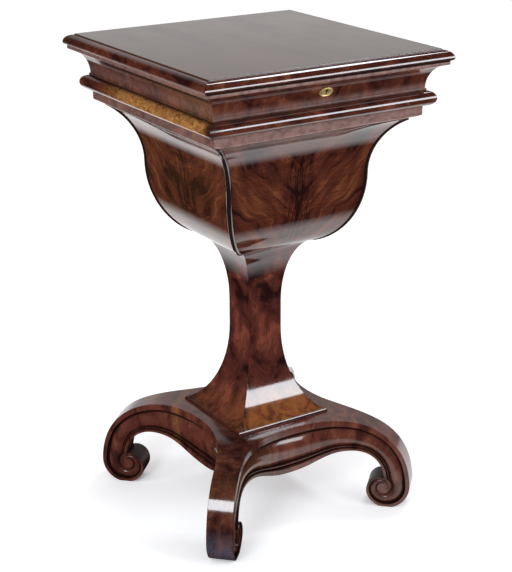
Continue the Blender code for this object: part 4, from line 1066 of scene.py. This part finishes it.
# Soft lamps: place, the point they face, width, height, brightness of their face, shown in gloss
LAMPS = {
    "right_lamp": ((0.92, -1.50, 0.88), (0.0, 0.0, 0.60), 1.10, 0.58, 8.5, True),
    "left_lamp": ((-2.03, -1.27, 1.37), (0.0, 0.0, 0.35), 0.80, 0.82, 15.0, True),
    "left_fill": ((-2.20, 0.60, 0.90), (0.0, 0.0, 0.50), 0.80, 0.80, 11.0, False),
    "top_lamp": ((1.10, 0.30, 2.33), (0.0, -0.2, 0.75), 0.60, 0.60, 12.0, True),
}
LAMP_COLOUR = (0.88, 0.94, 1.0)
AMBIENT = 0.62

# Black cloth round the set, met by gloss alone: on the floor at the front and at the left, under the
# table where it stands in for the table's shadow on the floor, and as a tent that is thin at the back
# right
CLOTH_BLACK = (0.004, 0.004, 0.004)
CLOTH_LIFT = 0.4 * MM
CLOTH_ACROSS = (-FLOOR_HALF, -0.42, -0.36, -0.31, -0.14, -0.02, 0.05, FLOOR_HALF)
CLOTH_ALONG = (-FLOOR_HALF, -0.41, -0.25, 0.33, 0.45, 1.25, 1.40, FLOOR_HALF)
TENT_RADIUS = 6.0
TENT_OPENING = 147  # degrees from the front towards the right
OPENING_EDGE = (0.68, 0.85)  # cosines of the angle from the opening's middle
OPENING_HEAD = (32, 44)  # degrees up
TENT_VEIL = 0.44
VEIL_FALL = 0.25  # how much thinner the veil is low down
VEIL_STEP = (15.6, 19.4)  # degrees up
TENT_ROWS = 60
TENT_COLUMNS = 72
TENT_LIFT = 0.02  # of a row, so that the tent's foot clears the floor


def toward(azimuth, elevation):
    """A direction, by degrees from the front towards the right and degrees up."""
    a = radians(azimuth)
    e = radians(elevation)
    return Vector((sin(a) * cos(e), -cos(a) * cos(e), sin(e)))


def seen_ray(tree):
    """1 for rays from the camera, also by way of gloss or glass."""
    path = add(tree, "LightPath").outputs
    glossy = maths(tree, "MAXIMUM", path["Is Camera Ray"], path["Is Glossy Ray"])
    return maths(tree, "MAXIMUM", glossy, path["Is Transmission Ray"])


def add_world():
    world = bpy.data.worlds.new("studio")
    bpy.context.scene.world = world
    world.use_nodes = True
    tree = world.node_tree
    strength = spread(tree, seen_ray(tree), 0.0, 1.0, AMBIENT, 1.0)
    tree.links.new(strength, tree.nodes["Background"].inputs["Strength"])
    tree.nodes["Background"].inputs["Color"].default_value = (1, 1, 1, 1)


def stage_mesh(name, verts, faces):
    mesh = bpy.data.meshes.new(name)
    mesh.from_pydata(verts, [], faces)
    made = bpy.data.objects.new(name, mesh)
    bpy.context.scene.collection.objects.link(made)
    return made


def add_floor():
    reach = FLOOR_HALF
    corners = [(-reach, -reach, 0), (reach, -reach, 0), (reach, reach, 0), (-reach, reach, 0)]
    floor = stage_mesh("floor", corners, [(0, 1, 2, 3)])
    made, tree, surface = new_material("pale_floor")
    surface.inputs["Base Color"].default_value = (*FLOOR_COLOUR, 1)
    surface.inputs["Roughness"].default_value = FLOOR_ROUGHNESS
    surface.inputs["Emission Color"].default_value = (1, 1, 1, 1)
    place = add(tree, "NewGeometry").outputs["Position"]
    away = add(tree, "VectorMath", {0: place}, operation="LENGTH").outputs["Value"]
    glow = spread(tree, away, *GLOW_REACH, *FLOOR_GLOW)
    glow = maths(tree, "MULTIPLY", seen_ray(tree), glow)
    tree.links.new(glow, surface.inputs["Emission Strength"])
    floor.data.materials.append(made)


def black_cloth():
    """Black where the mesh's own cover is 1, and clear where it is 0."""
    made, tree, surface = new_material("black_cloth")
    clear = add(tree, "BsdfTransparent").outputs[0]
    tree.nodes.remove(surface)
    black = add(tree, "BsdfDiffuse", {"Color": (*CLOTH_BLACK, 1)}).outputs[0]
    shade = add(tree, "MixShader", {0: patch(tree, "cover"), 1: clear, 2: black}).outputs[0]
    tree.links.new(shade, tree.nodes["Material Output"].inputs["Surface"])
    return made


def hang_cloth(name, rows, material):
    """Black cloth over rows of (point, cover), seen by gloss alone."""
    count = len(rows[0])
    faces = []
    for i in range(len(rows) - 1):
        for j in range(count - 1):
            first = i * count + j
            faces.append((first, first + 1, first + count + 1, first + count))
    points = [spot for row in rows for spot in row]
    cloth = stage_mesh(name, [point for point, _ in points], faces)
    weights = cloth.data.attributes.new("cover", "FLOAT", "POINT").data
    for i, (_, cover) in enumerate(points):
        weights[i].value = cover
    cloth.data.materials.append(material)
    cloth.visible_camera = False
    cloth.visible_diffuse = False
    cloth.visible_transmission = False
    cloth.visible_shadow = False


def tent_cover(azimuth, elevation):
    """Closed overhead and all round, but for a thin veil low down at the back right."""
    facing = smooth_share(cos(radians(azimuth - TENT_OPENING)), *OPENING_EDGE)
    low = 1 - smooth_share(elevation, *OPENING_HEAD)
    veil = TENT_VEIL - VEIL_FALL * (1 - smooth_share(elevation, *VEIL_STEP))
    return 1 - facing * low * (1 - veil)


def ground_cover(column, row):
    """1 at the front, at the left, where it is narrower far back, and under the table's left half as
    painted shadow.
    """
    front = row < 2
    left = column < 2 or (column < 4 and row < 6)
    # Painted shadow: black under the table, seen in reflections only.
    under = column < 6 and row < 4
    return 1 if front or left or under else 0


def add_black_cloths():
    material = black_cloth()
    ground = [[((x, y, CLOTH_LIFT), ground_cover(i, j)) for i, x in enumerate(CLOTH_ACROSS)]
              for j, y in enumerate(CLOTH_ALONG)]
    hang_cloth("black_ground", ground, material)
    azimuths = [360 * j / TENT_COLUMNS for j in range(TENT_COLUMNS + 1)]
    tent = []
    for i in range(TENT_ROWS):
        elevation = 90 * (i + TENT_LIFT) / TENT_ROWS
        tent.append([(toward(a, elevation) * TENT_RADIUS, tent_cover(a, elevation)) for a in azimuths])
    hang_cloth("black_tent", tent, material)


def add_lamps():
    for name, (place, aim, width, height, brightness, in_gloss) in LAMPS.items():
        light = bpy.data.lights.new(name, "AREA")
        light.shape = "RECTANGLE"
        light.size = width
        light.size_y = height
        light.energy = brightness * pi * width * height
        light.color = LAMP_COLOUR
        lamp = bpy.data.objects.new(name, light)
        lamp.location = place
        lamp.rotation_mode = "QUATERNION"
        lamp.rotation_quaternion = (Vector(aim) - Vector(place)).to_track_quat("-Z", "Y")
        lamp.visible_camera = False
        lamp.visible_glossy = in_gloss
        bpy.context.scene.collection.objects.link(lamp)


def add_camera():
    data = bpy.data.cameras.new("camera")
    data.sensor_width = SENSOR
    data.lens = FOCAL_PIXELS * SENSOR / FRAME_HEIGHT
    data.shift_x = -SHIFT_PIXELS[0] / FRAME_HEIGHT
    data.shift_y = SHIFT_PIXELS[1] / FRAME_HEIGHT
    yaw = radians(CAMERA_YAW)
    pitch = radians(CAMERA_PITCH)
    forward = Vector((cos(pitch) * cos(yaw), cos(pitch) * sin(yaw), sin(pitch)))
    level = Vector((sin(yaw), -cos(yaw), 0))
    rolled = Matrix.Rotation(radians(-CAMERA_ROLL), 3, forward) @ level
    upward = rolled.cross(forward)
    camera = bpy.data.objects.new("camera", data)
    camera.matrix_world = Matrix((rolled, upward, -forward)).transposed().to_4x4()
    camera.location = CAMERA_PLACE
    bpy.context.scene.collection.objects.link(camera)
    bpy.context.scene.camera = camera


add_legs()
add_base_block()
add_case_and_body()
add_inside()
add_metal()
add_world()
add_floor()
add_black_cloths()
add_lamps()
add_camera()
bpy.context.scene.view_settings.view_transform = "Standard"
